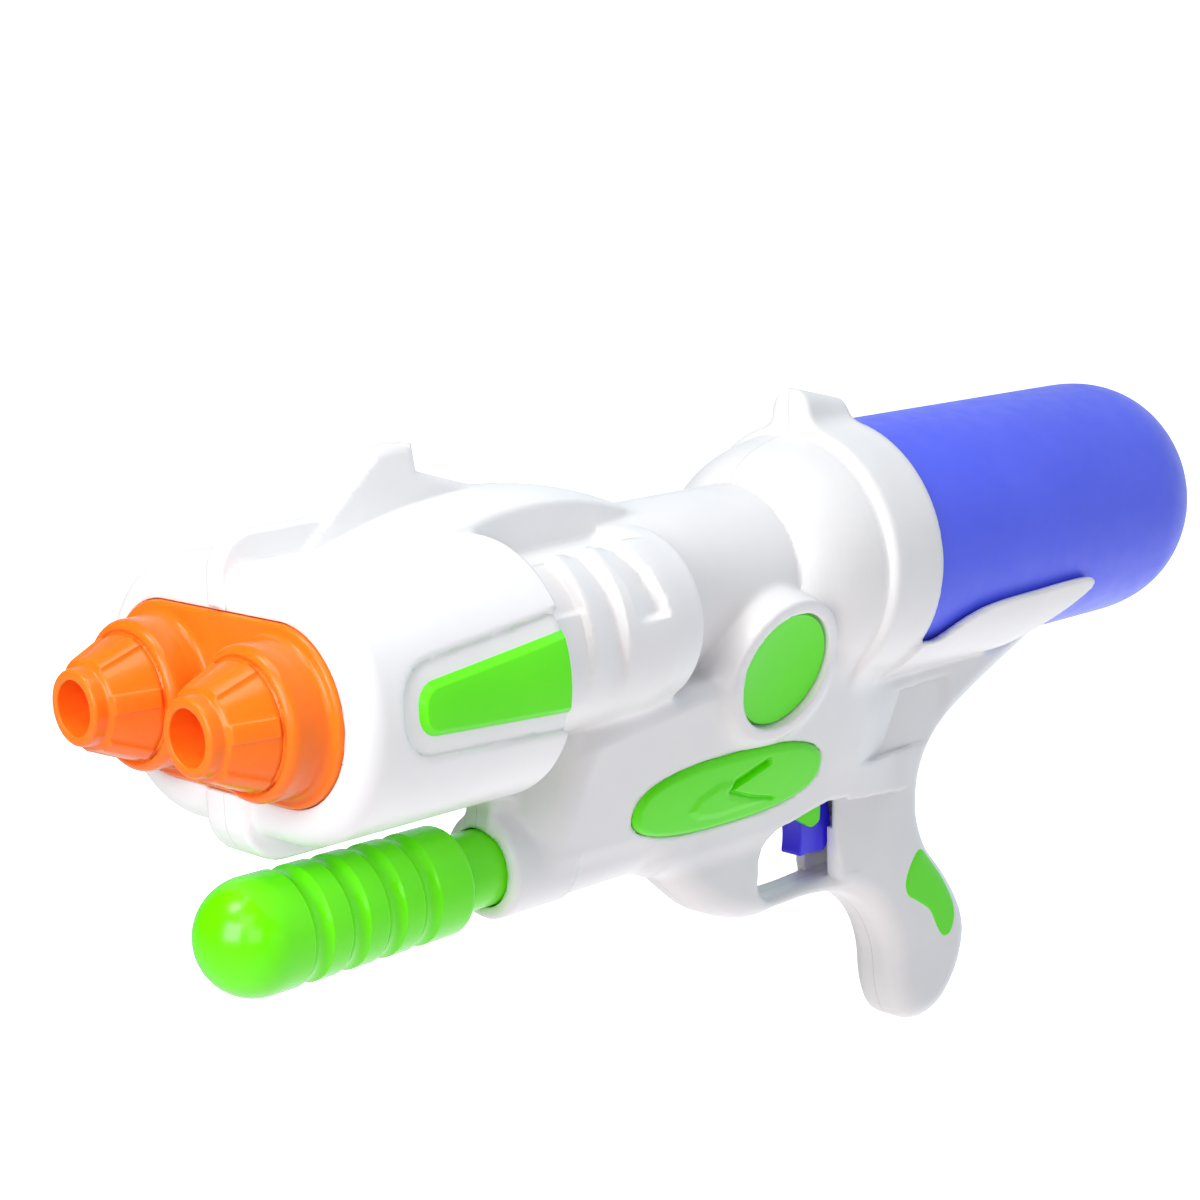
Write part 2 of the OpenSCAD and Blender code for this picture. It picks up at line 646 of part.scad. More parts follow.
module tank() color("royalblue") from_grip() difference() {
  turned(concat(tank_side(0), [[tank_front_x, tank_neck_r], [tank_front_x, 0]]));
  turned(concat(tank_side(tank_wall), [[tank_front_x + 1, tank_neck_r - tank_wall], [tank_front_x + 1, 0]]));
}

gasket_t = 2.4;
socket_floor_x = tank_front_x + gasket_t + clear;
// Socket in the neck that the tank screws into
module tank_socket() color("whitesmoke") from_grip() difference() {
  turned([[collar_len + 9, tank_neck_r + clear], [collar_len + 9, socket_r - fit],
    [socket_floor_x + 5, socket_r - fit], [socket_floor_x + 5, 0], [socket_floor_x, 0],
    [socket_floor_x, tank_neck_r + clear]]);
  for (y = [-hose_y, 0]) translate([socket_floor_x, y, hose_z]) {
    rod_x(-1, 6, nipple_bore);
    rod_x(1, 6, hose_r + fit);
  }
}
module tank_gasket() color("dimgray") from_grip()
  turned([[socket_floor_x - gasket_t, tank_neck_r - 5], [socket_floor_x - gasket_t, tank_neck_r],
    [socket_floor_x, tank_neck_r], [socket_floor_x, tank_neck_r - 5]]);

// Pump barrel, open at the front and closed by the check valve at the rear
module pump_barrel() color("gainsboro") from_grip() at_pump()
  turned([[barrel_x0, bore_r], [barrel_x0, barrel_r], [barrel_x1, barrel_r], [barrel_x1, bore_r]]);
module check_valve() color("silver") from_grip() at_pump() difference() {
  union() {
    turned([[barrel_x0 - 2.6, 0], [barrel_x0 - 2.6, barrel_r], [barrel_x0, barrel_r], [barrel_x0, bore_r - fit],
      [barrel_x0 + 3, bore_r - fit], [barrel_x0 + 3, 0]]);
    rod_x(barrel_x0 - 9, barrel_x0, 5);
    translate([barrel_x0 - 6, 0, 0]) rod_z(0, 5 + nipple_len, hose_bore - fit / 2);
  }
  translate([barrel_x0 - 6, 0, 0]) rod_z(0, 6 + nipple_len, nipple_bore);
  rod_x(barrel_x0 - 6, barrel_x0 + 4, nipple_bore);
}

// Pump rod: a tube that carries the piston inside the barrel and the grip outside
module pump_rod() color("limegreen") from_grip() at_pump() difference() {
  turned([[piston_x + 6, 0], [piston_x + 6, rod_r - 0.4], [piston_x + 6.4, rod_r], [grip_x0 + 20, rod_r],
    [grip_x0 + 20, 0]]);
  rod_x(piston_x + 8, grip_x0 + 21, rod_r - 2.4);
}
module piston() color("dimgray") from_grip() at_pump()
  turned([[piston_x, 0], [piston_x, bore_r - clear], [piston_x + 1.6, bore_r - clear],
    [piston_x + 1.6, bore_r - 2.2], [piston_x + 4.4, bore_r - 2.2], [piston_x + 4.4, bore_r - clear],
    [piston_x + 6, bore_r - clear], [piston_x + 6, 0]]);
module piston_ring() color("black") from_grip() at_pump()
  turned([[piston_x + 1.7, bore_r - 2.2], [piston_x + 1.7, bore_r - 0.6], [piston_x + 2.4, bore_r - 0.05],
    [piston_x + 3.6, bore_r - 0.05], [piston_x + 4.3, bore_r - 0.6], [piston_x + 4.3, bore_r - 2.2]]);

// Grip with rounded bands, a domed front end and a socket for the rod
module pump_grip() color("lime") from_grip() at_pump() difference() {
  rear_r = grip_band_r - grip_taper;
  slope = grip_taper / (grip_x1 - grip_x0);
  dish = [[-0.5, 0], [-0.3, -0.64], [-0.1, -0.96], [0.1, -0.96], [0.3, -0.64], [0.5, 0]];
  turned(concat([[grip_x0, 0], [grip_x0, rear_r - 2.5], [grip_x0 + 1, rear_r - 0.8], [grip_x0 + 3, rear_r]],
    [for (i = [1:band_count - 1]) for (q = dish) let (x = first_band + (i - 1) * band_len + groove_w * q[0])
      [grip_x0 + x, rear_r + slope * x + groove_depth * q[1]]],
    arc(grip_x1, 0, grip_band_r, 90, 0, 9)));
  rod_x(grip_x0 - 1, grip_x0 + 20, rod_r + fit);
  rod_x(grip_x0 + 19, grip_x1 + 5, rod_r - 1);
}

// Trigger blade with a finger face, a pivot hole and a rounded lobe that works the valve
module trigger() color("mediumblue") from_grip() difference() {
  z = trigger_at[1];
  x = trigger_at[0];
  wide(-trigger_t / 2, trigger_t / 2) {
    polygon(concat(arc(x + 34, z - 19, 27, 196, 162, 5), [[x + 4, z + 6], [x + 3, z + 12], [x - 3, z + 12],
      [x - 6, z + 2], [x - 8, z - 8], [x - 10, z - 20], [x - 6, z - 27], [x + 3, z - 26], [x + 6, z - 28]]));
    translate([x + 3.2, z + 14]) circle(r = 4);
  }
  translate([x, 0, z]) rod_y(-far, far, pin_r + pin_gap);
}

// Saddle over the trigger's shoulder
module trigger_yoke() color("lime") from_grip() difference() {
  z = trigger_at[1];
  x = trigger_at[0];
  wide(-handle_h + 5.5, handle_h - 5.5) polygon([[x + 19, z - 9.6], [x + 16, z - 7.4], [x + 2, z - 5.5],
    [x - 1, z - 7.5], [x - 0.5, z - 14.5], [x + 4, z - 16], [x + 8, z - 13.5], [x + 12, z - 11]]);
  wide(-trigger_t / 2 - fit, trigger_t / 2 + fit) translate([x - 20, z - 40]) square([28.7, 45]);
}
module trigger_pin() color("silver") from_grip() translate([trigger_at[0], 0, trigger_at[1]])
  rod_y(-handle_h + 1.2, handle_h - 1.2, pin_r);

inlet_x = valve_x + valve_len - 3.5;
outlet_x = inlet_x - 6;
// Valve body with a stepped bore, an inlet stub from the tank and an outlet stub to the nozzles
module valve_body() color("gainsboro") from_grip() translate([0, 0, valve_z]) difference() {
  union() {
    rod_x(valve_x, valve_x + valve_len, valve_r);
    translate([inlet_x, -hose_y, 0]) rod_z(0, valve_r + nipple_len, hose_bore - fit / 2);
    translate([outlet_x, hose_y, 0]) rod_z(0, valve_r + nipple_len, hose_bore - fit / 2);
  }
  rod_x(valve_x - 1, valve_x + 12, plunger_r + clear);
  rod_x(valve_x + 10, valve_x + valve_len - 2, plunger_r + 3.6);
  translate([inlet_x, 0, 0]) rod_y(-hose_y, 0, nipple_bore);
  translate([inlet_x, -hose_y, 0]) rod_z(0, far, nipple_bore);
  translate([valve_x + 5, 0, 0]) rod_y(0, hose_y, nipple_bore);
  translate([0, hose_y, 0]) rod_x(valve_x + 5, outlet_x, nipple_bore);
  translate([outlet_x, hose_y, 0]) rod_z(0, far, nipple_bore);
}
plunger_x0 = trigger_at[0] + 7.5;
module valve_plunger() color("silver") from_grip() translate([0, 0, valve_z])
  turned([[plunger_x0, 0], [plunger_x0, plunger_r + 2.4], [plunger_x0 + 2, plunger_r + 2.4],
    [plunger_x0 + 2, plunger_r], [valve_x + 10.3, plunger_r], [valve_x + 10.3, plunger_r + 2.6],
    [valve_x + 14, plunger_r + 2.6], [valve_x + 14, 0]]);

// Return spring around the plunger, drawn as a coil
module valve_spring() color("silver") from_grip() translate([0, 0, valve_z]) {
  x0 = plunger_x0 + 2.4;
  x1 = valve_x - 0.4;
  turns = 5;
  wire = 0.4;
  r = plunger_r + 1.3;
  rings = 60;
  sides = 8;
  pts = [for (i = [0:rings]) for (k = [0:sides - 1]) let (a = 360 * turns * i / rings, b = 360 * k / sides)
    [x0 + wire + (x1 - x0 - 2 * wire) * i / rings + wire * cos(b),
      (r + wire * sin(b)) * cos(a), (r + wire * sin(b)) * sin(a)]];
  skin = [for (i = [0:rings - 1]) for (k = [0:sides - 1]) let (a = i * sides, j = (k + 1) % sides)
    [a + k, a + sides + k, a + sides + j, a + j]];
  ends = [[for (k = [0:sides - 1]) k], [for (k = [sides - 1:-1:0]) rings * sides + k]];
  polyhedron(pts, concat(skin, ends));
}

// Hose wall at radius r: rises at x from z0, bends level at z1 and runs to x_end
module hose_run(x, z0, z1, x_end, r) {
  bend = 9;
  ahead = x_end > x;
  knee_x = ahead ? x + bend : x - bend;
  translate([x, 0, 0]) rod_z(z0, z1 - bend, r);
  translate([knee_x, 0, z1 - bend]) rotate([90, 0, 0]) rotate([0, 0, ahead ? 90 : 0])
    rotate_extrude(angle = 90) translate([bend, 0]) circle(r = r);
  translate([0, 0, z1]) rod_x(min(knee_x, x_end), max(knee_x, x_end), r);
}
module hose(x, z0, z1, x_end, y) color("lightblue") from_grip() translate([0, y, 0]) difference() {
  hose_run(x, z0, z1, x_end, hose_r);
  hose_run(x, z0 - 1, z1, x_end + sign(x_end - x), hose_bore);
}
nipple_z = valve_z + valve_r + 1;
module supply_hose() hose(inlet_x, nipple_z, hose_z, socket_floor_x + 1.1, -hose_y);
module outlet_hose() hose(outlet_x, nipple_z, nose_z, manifold_x1 - manifold_len, hose_y);
module air_hose() hose(barrel_x0 - 6, pump_z + 6, hose_z, socket_floor_x + 1.1, 0);

// Dished disc glued into the side boss
module side_disc(side) color("lime") from_grip() mirror([0, side < 0 ? 1 : 0, 0])
  translate([boss_x, 0, 0]) on_flank() turned_y(concat([[0, disc_d - 2], [disc_r, disc_d - 2]],
    [for (t = [1:-0.2:0]) [disc_r * t, disc_d - 0.9 + 1.6 * t * t]]));
module side_disc_left() side_disc(1);
module side_disc_right() side_disc(-1);

// Oval insert on the flank, with a notch cut into its face
module oval_insert(side) color("lime") from_grip() mirror([0, side < 0 ? 1 : 0, 0]) on_flank() difference() {
  union() {
    wide(flank_d - pocket, flank_d + 1) oval();
    wide(flank_d, flank_d + 2) oval(-2);
  }
  translate([0, flank_d + 0.4, 0]) wide(0, 9) translate(oval_at)
    polygon([[2, 0.2], [0, 4.5], [-14.2, 9.8], [-16.6, 7], [-4, 0.2], [-21.9, -7.3]]);
}
module oval_insert_left() oval_insert(1);
module oval_insert_right() oval_insert(-1);

// Wedge insert that follows the shroud's curve
module shroud_insert(side) color("lime") from_grip() mirror([0, side < 0 ? 1 : 0, 0]) intersection() {
  difference() {
    shroud_slice(shroud_x, nose_x, shroud_r - 0.3);
    shroud_slice(shroud_x - 1, nose_x + 1, shroud_r - 1.5, 1);
  }
  wide(shroud_c, far) wedge();
}
module shroud_insert_left() shroud_insert(1);
module shroud_insert_right() shroud_insert(-1);

// Soft patch let into the side of the hand grip
module grip_insert(side) color("lime") from_grip() mirror([0, side < 0 ? 1 : 0, 0]) intersection() {
  handle_solid();
  wide(handle_h - pocket - 4, far) grip_patch();
}
module grip_insert_left() grip_insert(1);
module grip_insert_right() grip_insert(-1);

// Cross-head screws that draw the two halves together, put in from the right side
module body_screws() color("silver") from_grip() for (s = screw_spots) translate([s[0], 0, s[1]]) difference() {
  union() {
    rod_y(3 - screw_len, 3.5, screw_r);
    translate([0, 4 - screw_len, 0])
      turned_y([[0, -2], [screw_r * 1.4, -2], [screw_r * 1.9, -1.2], [screw_r * 1.9, 0], [0, 0]]);
  }
  for (a = [0, 90]) rotate([0, a, 0]) translate([-1.6, 1.2 - screw_len, -0.35]) cube([3.2, 1.6, 0.7]);
}

body_left();
body_right();
nose_plate();
nozzle_left();
nozzle_right();
jet_left();
jet_right();
manifold();
tank();
tank_socket();
tank_gasket();
pump_barrel();
check_valve();
pump_rod();
pump_grip();
piston();
piston_ring();
trigger();
trigger_yoke();
trigger_pin();
valve_body();
valve_plunger();
valve_spring();
supply_hose();
outlet_hose();
air_hose();
side_disc_left();
side_disc_right();
oval_insert_left();
oval_insert_right();
shroud_insert_left();
shroud_insert_right();
grip_insert_left();
grip_insert_right();
body_screws();
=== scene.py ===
"""Looks of the pump water squirter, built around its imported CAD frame.

Lengths in the piece functions are millimetres in the barrel frame: x runs to the muzzle from the collar's rear edge,
y to the squirter's left and z up from the tank's axis. Every mesh is set down in the frame of the part, in metres.
"""

import bpy
import numpy as np
from mathutils import Matrix, Vector


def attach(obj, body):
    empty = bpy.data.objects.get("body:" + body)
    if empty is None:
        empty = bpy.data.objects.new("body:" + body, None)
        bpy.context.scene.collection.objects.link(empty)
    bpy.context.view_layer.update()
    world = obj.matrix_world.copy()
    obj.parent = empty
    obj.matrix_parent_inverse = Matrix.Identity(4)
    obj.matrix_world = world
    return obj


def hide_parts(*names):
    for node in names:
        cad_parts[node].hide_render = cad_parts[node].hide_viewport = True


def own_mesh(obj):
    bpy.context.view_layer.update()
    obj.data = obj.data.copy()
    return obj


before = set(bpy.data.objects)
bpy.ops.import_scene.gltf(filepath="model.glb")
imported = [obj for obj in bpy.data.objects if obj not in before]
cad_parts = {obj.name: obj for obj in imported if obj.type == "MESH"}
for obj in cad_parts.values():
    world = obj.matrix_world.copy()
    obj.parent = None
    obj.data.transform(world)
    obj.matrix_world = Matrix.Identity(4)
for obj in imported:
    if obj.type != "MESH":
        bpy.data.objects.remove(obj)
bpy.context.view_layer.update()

# Body halves
# The white casing is moulded as a left and a right half that screw together on the plane y = 0. Its collar, drum,
# shroud, flank, pump housing, hand grip and tray run into each other with branching fillets that two-parameter patches
# can't carry, so a half is one distance field of forms joined by rounded unions, meshed where it is zero.

GRIP = np.array([36.0, 0.0, 142.0])  # barrel frame to part frame
LEAN = np.radians(17.2)  # lean of the flanks and of the side boss
BOSS, BOSS_R = (68.0, -16.8), 25.5  # x and z of the boss axis on the parting plane, and its radius
DISC_R, DISC_SEAT = 20.7, 32.6  # radius of the disc in the boss, and the height of its back square to the flank
TANK_R = 45.0
COLLAR_R, COLLAR_LEN = 47.1, 25.6
DRUM_Y, DRUM_Z, DRUM_R = 18.0, -2.0, 30.0  # axes and radius of the pill-shaped drum
SHROUD_Y, SHROUD_R = 22.0, 39.5  # axes and radius of the pill-shaped shroud
NOZZLE_Y, NOSE_Z = 27.0, -5.5  # axes of the nozzles, whose height the shroud shares
PUMP_Z, HOUSING_R = -76.4, 17.2  # height of the pump's axis, and radius of its housing
GRIP_HALF, GRIP_ROUND = 12.5, 9.0  # half width of guard and hand grip, and the radius of their edges


def smooth(points, n=6):
    """Closed Catmull-Rom curve through the points, n steps to a stretch."""
    p = np.asarray(points, float)
    a, c, d = np.roll(p, 1, 0), np.roll(p, -1, 0), np.roll(p, -2, 0)
    t = (np.arange(n) / n)[None, :, None]
    a, b, c, d = a[:, None], p[:, None], c[:, None], d[:, None]
    q = 2 * b + (c - a) * t + (2 * a - 5 * b + 4 * c - d) * t**2 + (3 * b - a - 3 * c + d) * t**3
    return (q / 2).reshape(-1, 2)


def flat(u, v, outline):
    """Signed distance in a plane from the points (u, v) to a closed outline, negative inside."""
    p = np.asarray(outline, float)
    best, inside = np.full(u.shape, 1e9), np.zeros(u.shape, bool)
    for (ax, ay), (bx, by) in zip(p, np.roll(p, -1, 0)):
        ex, ey, wx, wy = bx - ax, by - ay, u - ax, v - ay
        t = np.clip((wx * ex + wy * ey) / (ex * ex + ey * ey + 1e-12), 0, 1)
        best = np.minimum(best, (wx - ex * t) ** 2 + (wy - ey * t) ** 2)
        if ay != by:
            inside ^= ((ay > v) != (by > v)) & (u < ex * (v - ay) / ey + ax)
    return np.where(inside, -1, 1) * np.sqrt(best)


def near(box, shape, *axes):
    """The shape's distance where a point lies in the box, and a plain 30 mm elsewhere."""
    keep = np.ones(axes[0].shape, bool)
    for w, (lo, hi) in zip(axes, box):
        keep &= (w > lo) & (w < hi)
    out = np.full(axes[0].shape, 30.0)
    out[keep] = shape(*(w[keep] for w in axes))
    return out


def join(a, b, k):
    """Union of two distances with a fillet of about k."""
    h = np.clip(0.5 + 0.5 * (b - a) / k, 0, 1)
    return b + (a - b) * h - k * h * (1 - h)


def less(a, b, k):
    """First distance without the second, with edges rounded by about k."""
    return -join(-a, b, k)


def both(a, b, r):
    """Intersection of two distances with its edge rounded to the radius r."""
    return np.minimum(np.maximum(a, b) + r, 0) + np.hypot(np.maximum(a + r, 0), np.maximum(b + r, 0)) - r


def step(w, lo, hi):
    """Smooth step from 0 at lo to 1 at hi."""
    t = np.clip((w - lo) / (hi - lo), 0, 1)
    return t * t * (3 - 2 * t)


def wedge(grow=0.0):
    """Side outline of the shroud insert: a trapezium with a rounded front."""
    x, r = 240.9, 6.9 + grow  # middle and radius of both front corners
    a = np.radians(np.linspace(-82, 0, 8))
    low = np.c_[x + r * np.cos(a), -4.6 + r * np.sin(a)]
    high = np.c_[x + r * np.cos(-a[::-1]), -2.6 + r * np.sin(-a[::-1])]
    return np.r_[[(186, -14.4 - grow)], low, high, [(186, 9.6 + grow)]]


# outlines of the forms seen from the side, in x and z; the neck is turned, in x and radius
DOME = np.linspace(0, 1, 13)
NECK = np.r_[[(8, 0), (8, 44.6)], np.c_[COLLAR_LEN + 30 * (1 - (1 - DOME) ** 1.6), 44.0 - 13.5 * DOME**1.6],
             [(132, 30.5), (132, 0)]]
HANDLE = smooth([
    (104, -78), (112, -89), (101, -95), (90, -105), (77, -115), (60, -120.5), (44, -121), (26, -121), (11, -123),
    (-1, -129), (-11, -139), (-17, -152), (-19, -168), (-24, -179), (-34, -183), (-46, -180), (-56, -170), (-61, -158),
    (-61, -148), (-56, -137), (-48, -126), (-40, -117), (-35, -107), (-33.5, -97), (-36, -85), (-45, -74), (-61, -65),
    (-82, -56), (-104, -47), (-107, -45), (-104, -40), (-60, -41), (0, -43), (60, -50)], 3)
TRAY = smooth([(2, -32), (-9, -29), (-20, -23.5), (-34, -20), (-60, -19), (-86, -18.5), (-94, -20), (-95, -24),
               (-86, -31), (-72, -41), (-62, -54), (-30, -62), (2, -62)], 4)
CHIN = np.linspace(0.2, 1.45, 7)
KEEL = np.r_[[(170, -38), (170, -53), (257, -53)], np.c_[257 + 14 * np.sin(CHIN), -39 - 14 * np.cos(CHIN)],
             [(271, -31), (258, -31)]]
BROW = np.linspace(0, 1.53, 9)
LOW_FIN = np.r_[[(232, 28), (262, 28), (267, 24), (270.6, 22)],
                np.c_[259 + 11.6 * np.cos(BROW), 30.9 + 11.6 * np.sin(BROW)], [(232, 42.9)]]
TALL_FIN = [(247, 30.6), (212.8, 60.2), (206, 60.8), (198.5, 60.5), (197, 52), (171, 44), (171, 28)]
HOLE = [(14, -116), (44, -116), (44, -89), (33, -86.5), (24, -85), (14, -86)]
RELIEF = [(-25.5, -90.9), (-4.9, -113.5), (15, -116), (15, -86.5)]
SHADE = [(13, -73.5), (10, -51.5), (-17, -52.8), (-50, -52.8), (-50, -75), (-8.5, -75)]
FLANK = [(-30, -26), (105, -26), (140, -31), (175, -38), (175, -80), (118, -81), (106, -94), (-26, -94)]
FLANK_PLAN = [(169, -5), (169, 5), (165, 13), (160, 21), (147, 40), (62, 40), (12, 22.5), (-14, 11.5), (-30, 10),
              (-30, -5)]  # x and y
OVAL, OVAL_HALF = (81.0, -42.0), (46.0, 13.6)  # middle of the oval insert on the flank, and its half sizes
TILT = np.radians(1.2)  # its rise to the muzzle


def oval(grow=0.0, n=64):
    """Flank outline of the oval insert, a squarish ellipse that rises a little to the muzzle."""
    a = np.linspace(0, 2 * np.pi, n, endpoint=False)
    c, s = np.cos(a), np.sin(a)
    u, v = ((half + grow) * np.sign(w) * abs(w) ** 0.8 for half, w in zip(OVAL_HALF, (c, s)))
    return np.c_[OVAL[0] + u * np.cos(TILT) - v * np.sin(TILT), OVAL[1] + u * np.sin(TILT) + v * np.cos(TILT)]


def outside(x, y, z):
    """Distance to the outer shape of the casing, which is the same on both sides of the parting plane."""
    # collar with its ear, and the domed neck
    r = np.hypot(y, z)
    t = np.clip(x / 25, 0, 1)
    ear = np.maximum(np.hypot(y, np.maximum(z - 49 - 2.5 * t, 0)) - 5 - 3.5 * t, 38 - z)
    collar = both(both(join(r - COLLAR_R, ear, 7), x - COLLAR_LEN, 3.0), -x, 0.7)
    d = join(collar, flat(x, r, NECK), 1.2)

    # side boss, square to the leaning flank
    q = y * np.cos(LEAN) - (z - BOSS[1]) * np.sin(LEAN)
    w = y * np.sin(LEAN) + (z - BOSS[1]) * np.cos(LEAN)
    boss = both(both(np.hypot(x - BOSS[0], w) - BOSS_R, q - 36.5, 1.4), 6 - q, 0.5)
    d = join(d, boss, 2.5)

    # drum with three gills, each a step at its rear that runs out to the front, and the bridge over it
    rr = np.hypot(np.maximum(y - DRUM_Y, 0), z - DRUM_Z)
    low = step(z, -20, 8)
    lean = 0.22 * np.maximum(z - 4, 0)
    gill = step(x, 168.6, 170.4) * np.maximum(0.9 * step(z, 8.4, 10.2), 0.55 * low)
    gill = np.maximum(gill, step(x, 153.6, 155.4) * np.clip((167 - x) / 12, 0, 1) * low)
    gill = np.maximum(gill, step(x - lean, 134.6, 136.2) * np.clip((149 + 0.5 * lean - x) / 11, 0, 1)
                      * step(z, 3.0, 4.8))
    gill = np.maximum(gill, step(29.5 - y, 0, 1.4) * step(z, 10, 15) * step(x, 126, 140))
    drum = both(both(rr - DRUM_R + 1.6 * step(-x, -136, -119) + 3.6 * gill, 118 - x, 3), x - 196, 1)
    wide = 11 + 9 * np.clip((x - 118) / 72, 0, 1)
    bridge = np.hypot(np.hypot(x - 178, z + 122.5) - 138, y) - 29
    bridge = both(both(both(bridge, y - wide, 1.0), x - 252, 3), 8 - z, 1)
    bridge = np.maximum(bridge, 100 - x)
    d = join(d, join(drum, bridge, 1.5), 1.5)

    # shroud with the recess of its wedge, fins and keel
    rs = np.hypot(np.maximum(y - SHROUD_Y, 0), z - NOSE_Z)
    shroud = both(both(rs - SHROUD_R, x - 269, 9), 190 - x, 0.9)
    recess = near(((180, 260), (40, 80), (-40, 30)), lambda x, y, z, rs: np.maximum(
        flat(x, z, wedge(5.5)), 37.9 - rs), x, y, z, rs)
    d = join(d, less(shroud, recess, 2.6), 0.8)
    low_fin = near(((160, 290), (-9, 20), (10, 75)), lambda x, y, z: both(flat(x, z, LOW_FIN), y - 3.6, 1.4), x, y, z)
    rise = near(((160, 290), (10, 75)), lambda x, z: flat(x, z, TALL_FIN), x, z)
    tall_fin = both(rise, y - 3.5 - 1.0 * step(-rise, 0.2, 2.6), 1.0)
    d = join(d, join(low_fin, tall_fin, 0.6), 0.8)
    keel = near(((150, 290), (-9, 30), (-70, -15)), lambda x, y, z: both(flat(x, z, KEEL), y - 9.5, 2.0), x, y, z)
    d = join(d, keel, 2.0)

    # leaning flank, pump housing, guard and hand grip, and the tray under the tank
    flank = near(((-50, 195), (-9, 60), (-115, 0)), lambda x, y, z: both(both(
        y * np.cos(LEAN) - z * np.sin(LEAN) - 39.5, flat(x, z, FLANK), 7), flat(x, y, FLANK_PLAN), 5), x, y, z)
    tube = both(both(np.hypot(y, z - PUMP_Z) - HOUSING_R + step(-x, -148.6, -147.4), x - 175, 3.2), 96 - x, 1)
    grip = near(((-130, 135), (-9, 40), (-205, -20)), lambda x, y, z: both(
        flat(x, z, HANDLE), y - GRIP_HALF, GRIP_ROUND), x, y, z)
    web = both(both(both(y - 6.4, x - 175, 2.4), 120 - x, 2), np.maximum(-78 - z, z + 40), 1)
    low_body = join(join(flank, web, 5), tube, 3.5)
    low_body = join(low_body, grip, 6)
    d = join(d, low_body, 2.5 + 4.5 * step(-x, -188, -172))
    tray = near(((-120, 20), (-9, 60), (-75, -5)), lambda x, y, z, r: both(np.maximum(
        TANK_R + 0.5 - r, r - TANK_R - 3.7), flat(x, z, TRAY), 1.3), x, y, z, r)
    return join(d, tray, 2.5)


def pill(x, y, z, c, zc, r, x0, x1):
    """Distance to a room from x0 to x1 whose section is a pill: radius r about axes at y = c and -c and z = zc."""
    return np.maximum(np.maximum(np.hypot(np.maximum(y - c, 0), z - zc) - r, x0 - x), x - x1)


def casing(x, y, z):
    """Distance to one half of the casing: the outer shape less its rooms, slots and insert pockets."""
    y = abs(y)
    d = outside(x, y, z)
    r = np.hypot(y, z)
    q = y * np.cos(LEAN) - (z - BOSS[1]) * np.sin(LEAN)
    w = y * np.sin(LEAN) + (z - BOSS[1]) * np.cos(LEAN)
    # finger hole with a rounder foot, the ramp behind it, and the shade pocket under the tray, whose front wall is the
    # flank's rear bevel
    hole = near(((-5, 75), (-135, -70)), lambda x, z: np.minimum(
        np.hypot(x - 44, z + 102.5) - 13.5, flat(x, z, HOLE)), x, z)
    d = less(d, hole, 2.5 + 4.5 * step(-z, 103, 112))
    ramp = GRIP_HALF - 0.135 * np.clip(0.739 * (x + 17.5) + 0.675 * (z + 90), -12, 28)
    relief = near(((-45, 40), (2, 40), (-135, -70)), lambda x, y, z, ramp: np.maximum(
        flat(x, z, RELIEF), ramp - y), x, y, z, ramp)
    d = less(d, relief, 0.8)
    bevel = 11.5 + 0.41 * np.maximum(0.863 * (x + 8.5) + 0.505 * (z + 74), 0) + 1.2 * step(-x, 42, 49)
    panel = near(((-70, 30), (2, 50), (-90, -40)), lambda x, y, z, bevel: np.maximum(
        flat(x, z, SHADE), bevel - y), x, y, z, bevel)
    d = less(d, panel, 1.0)
    # pockets of the disc and the oval
    d = less(d, np.maximum(np.hypot(x - BOSS[0], w) - DISC_R - 0.2, DISC_SEAT - q), 0.8)
    d = less(d, near(((15, 145), (-80, 0), (20, 60)), lambda x, w, q: np.maximum(
        flat(x, w, oval(0.3)), 33.0 - q), x, w, q), 0.8)
    # rooms of the tank's side and shoulder, of drum, shroud, plate back, plate, pump barrel and pump rod, and boxes for
    # the trigger's head, its blade and the valve: half width, then middle and half size in x and in z
    bore = TANK_R + 0.15
    rooms = np.maximum(r - bore, x - 22)
    cone = np.clip(bore - (x - 22) * 1.64, 27.5, bore)
    rooms = np.minimum(rooms, np.maximum(np.maximum(r - cone, 20 - x), x - 126))
    for room in ((DRUM_Y, DRUM_Z, 22, 122, 194), (SHROUD_Y, NOSE_Z, 34.5, 193.5, 258),
                 (NOZZLE_Y, NOSE_Z, 23.3, 255, 262), (NOZZLE_Y, NOSE_Z, 26.5, 261, 300),
                 (0, PUMP_Z, 14.65, 79, 172), (0, PUMP_Z, 12.9, 170, 190)):
        rooms = np.minimum(rooms, pill(x, y, z, *room))
    for half, cx, hx, cz, hz in ((7.7, 18, 20, -76, 22), (5.3, 23, 21, -106.5, 9.5), (9.2, 59, 21, -51, 31)):
        rooms = np.minimum(rooms, np.maximum(np.maximum(y - half, abs(x - cx) - hx), abs(z - cz) - hz))
    return less(d, rooms, 0.5)


SCREWS = [(-42, -171), (-26, -92), (82, -98), (-68, -54), (100, -44), (150, -46), (222, -48)]  # x and z
HEAD_SEAT = 7.5  # from the parting plane to the foot of a screw's well


def casing_right(x, y, z):
    """The half's distance less the wells of the screws, on whose floors the heads rest."""
    d = casing(x, y, z)
    for sx, sz in SCREWS:
        d = less(d, np.maximum(np.hypot(x - sx, z - sz) - 3.5, HEAD_SEAT - y), 0.8)
    return d


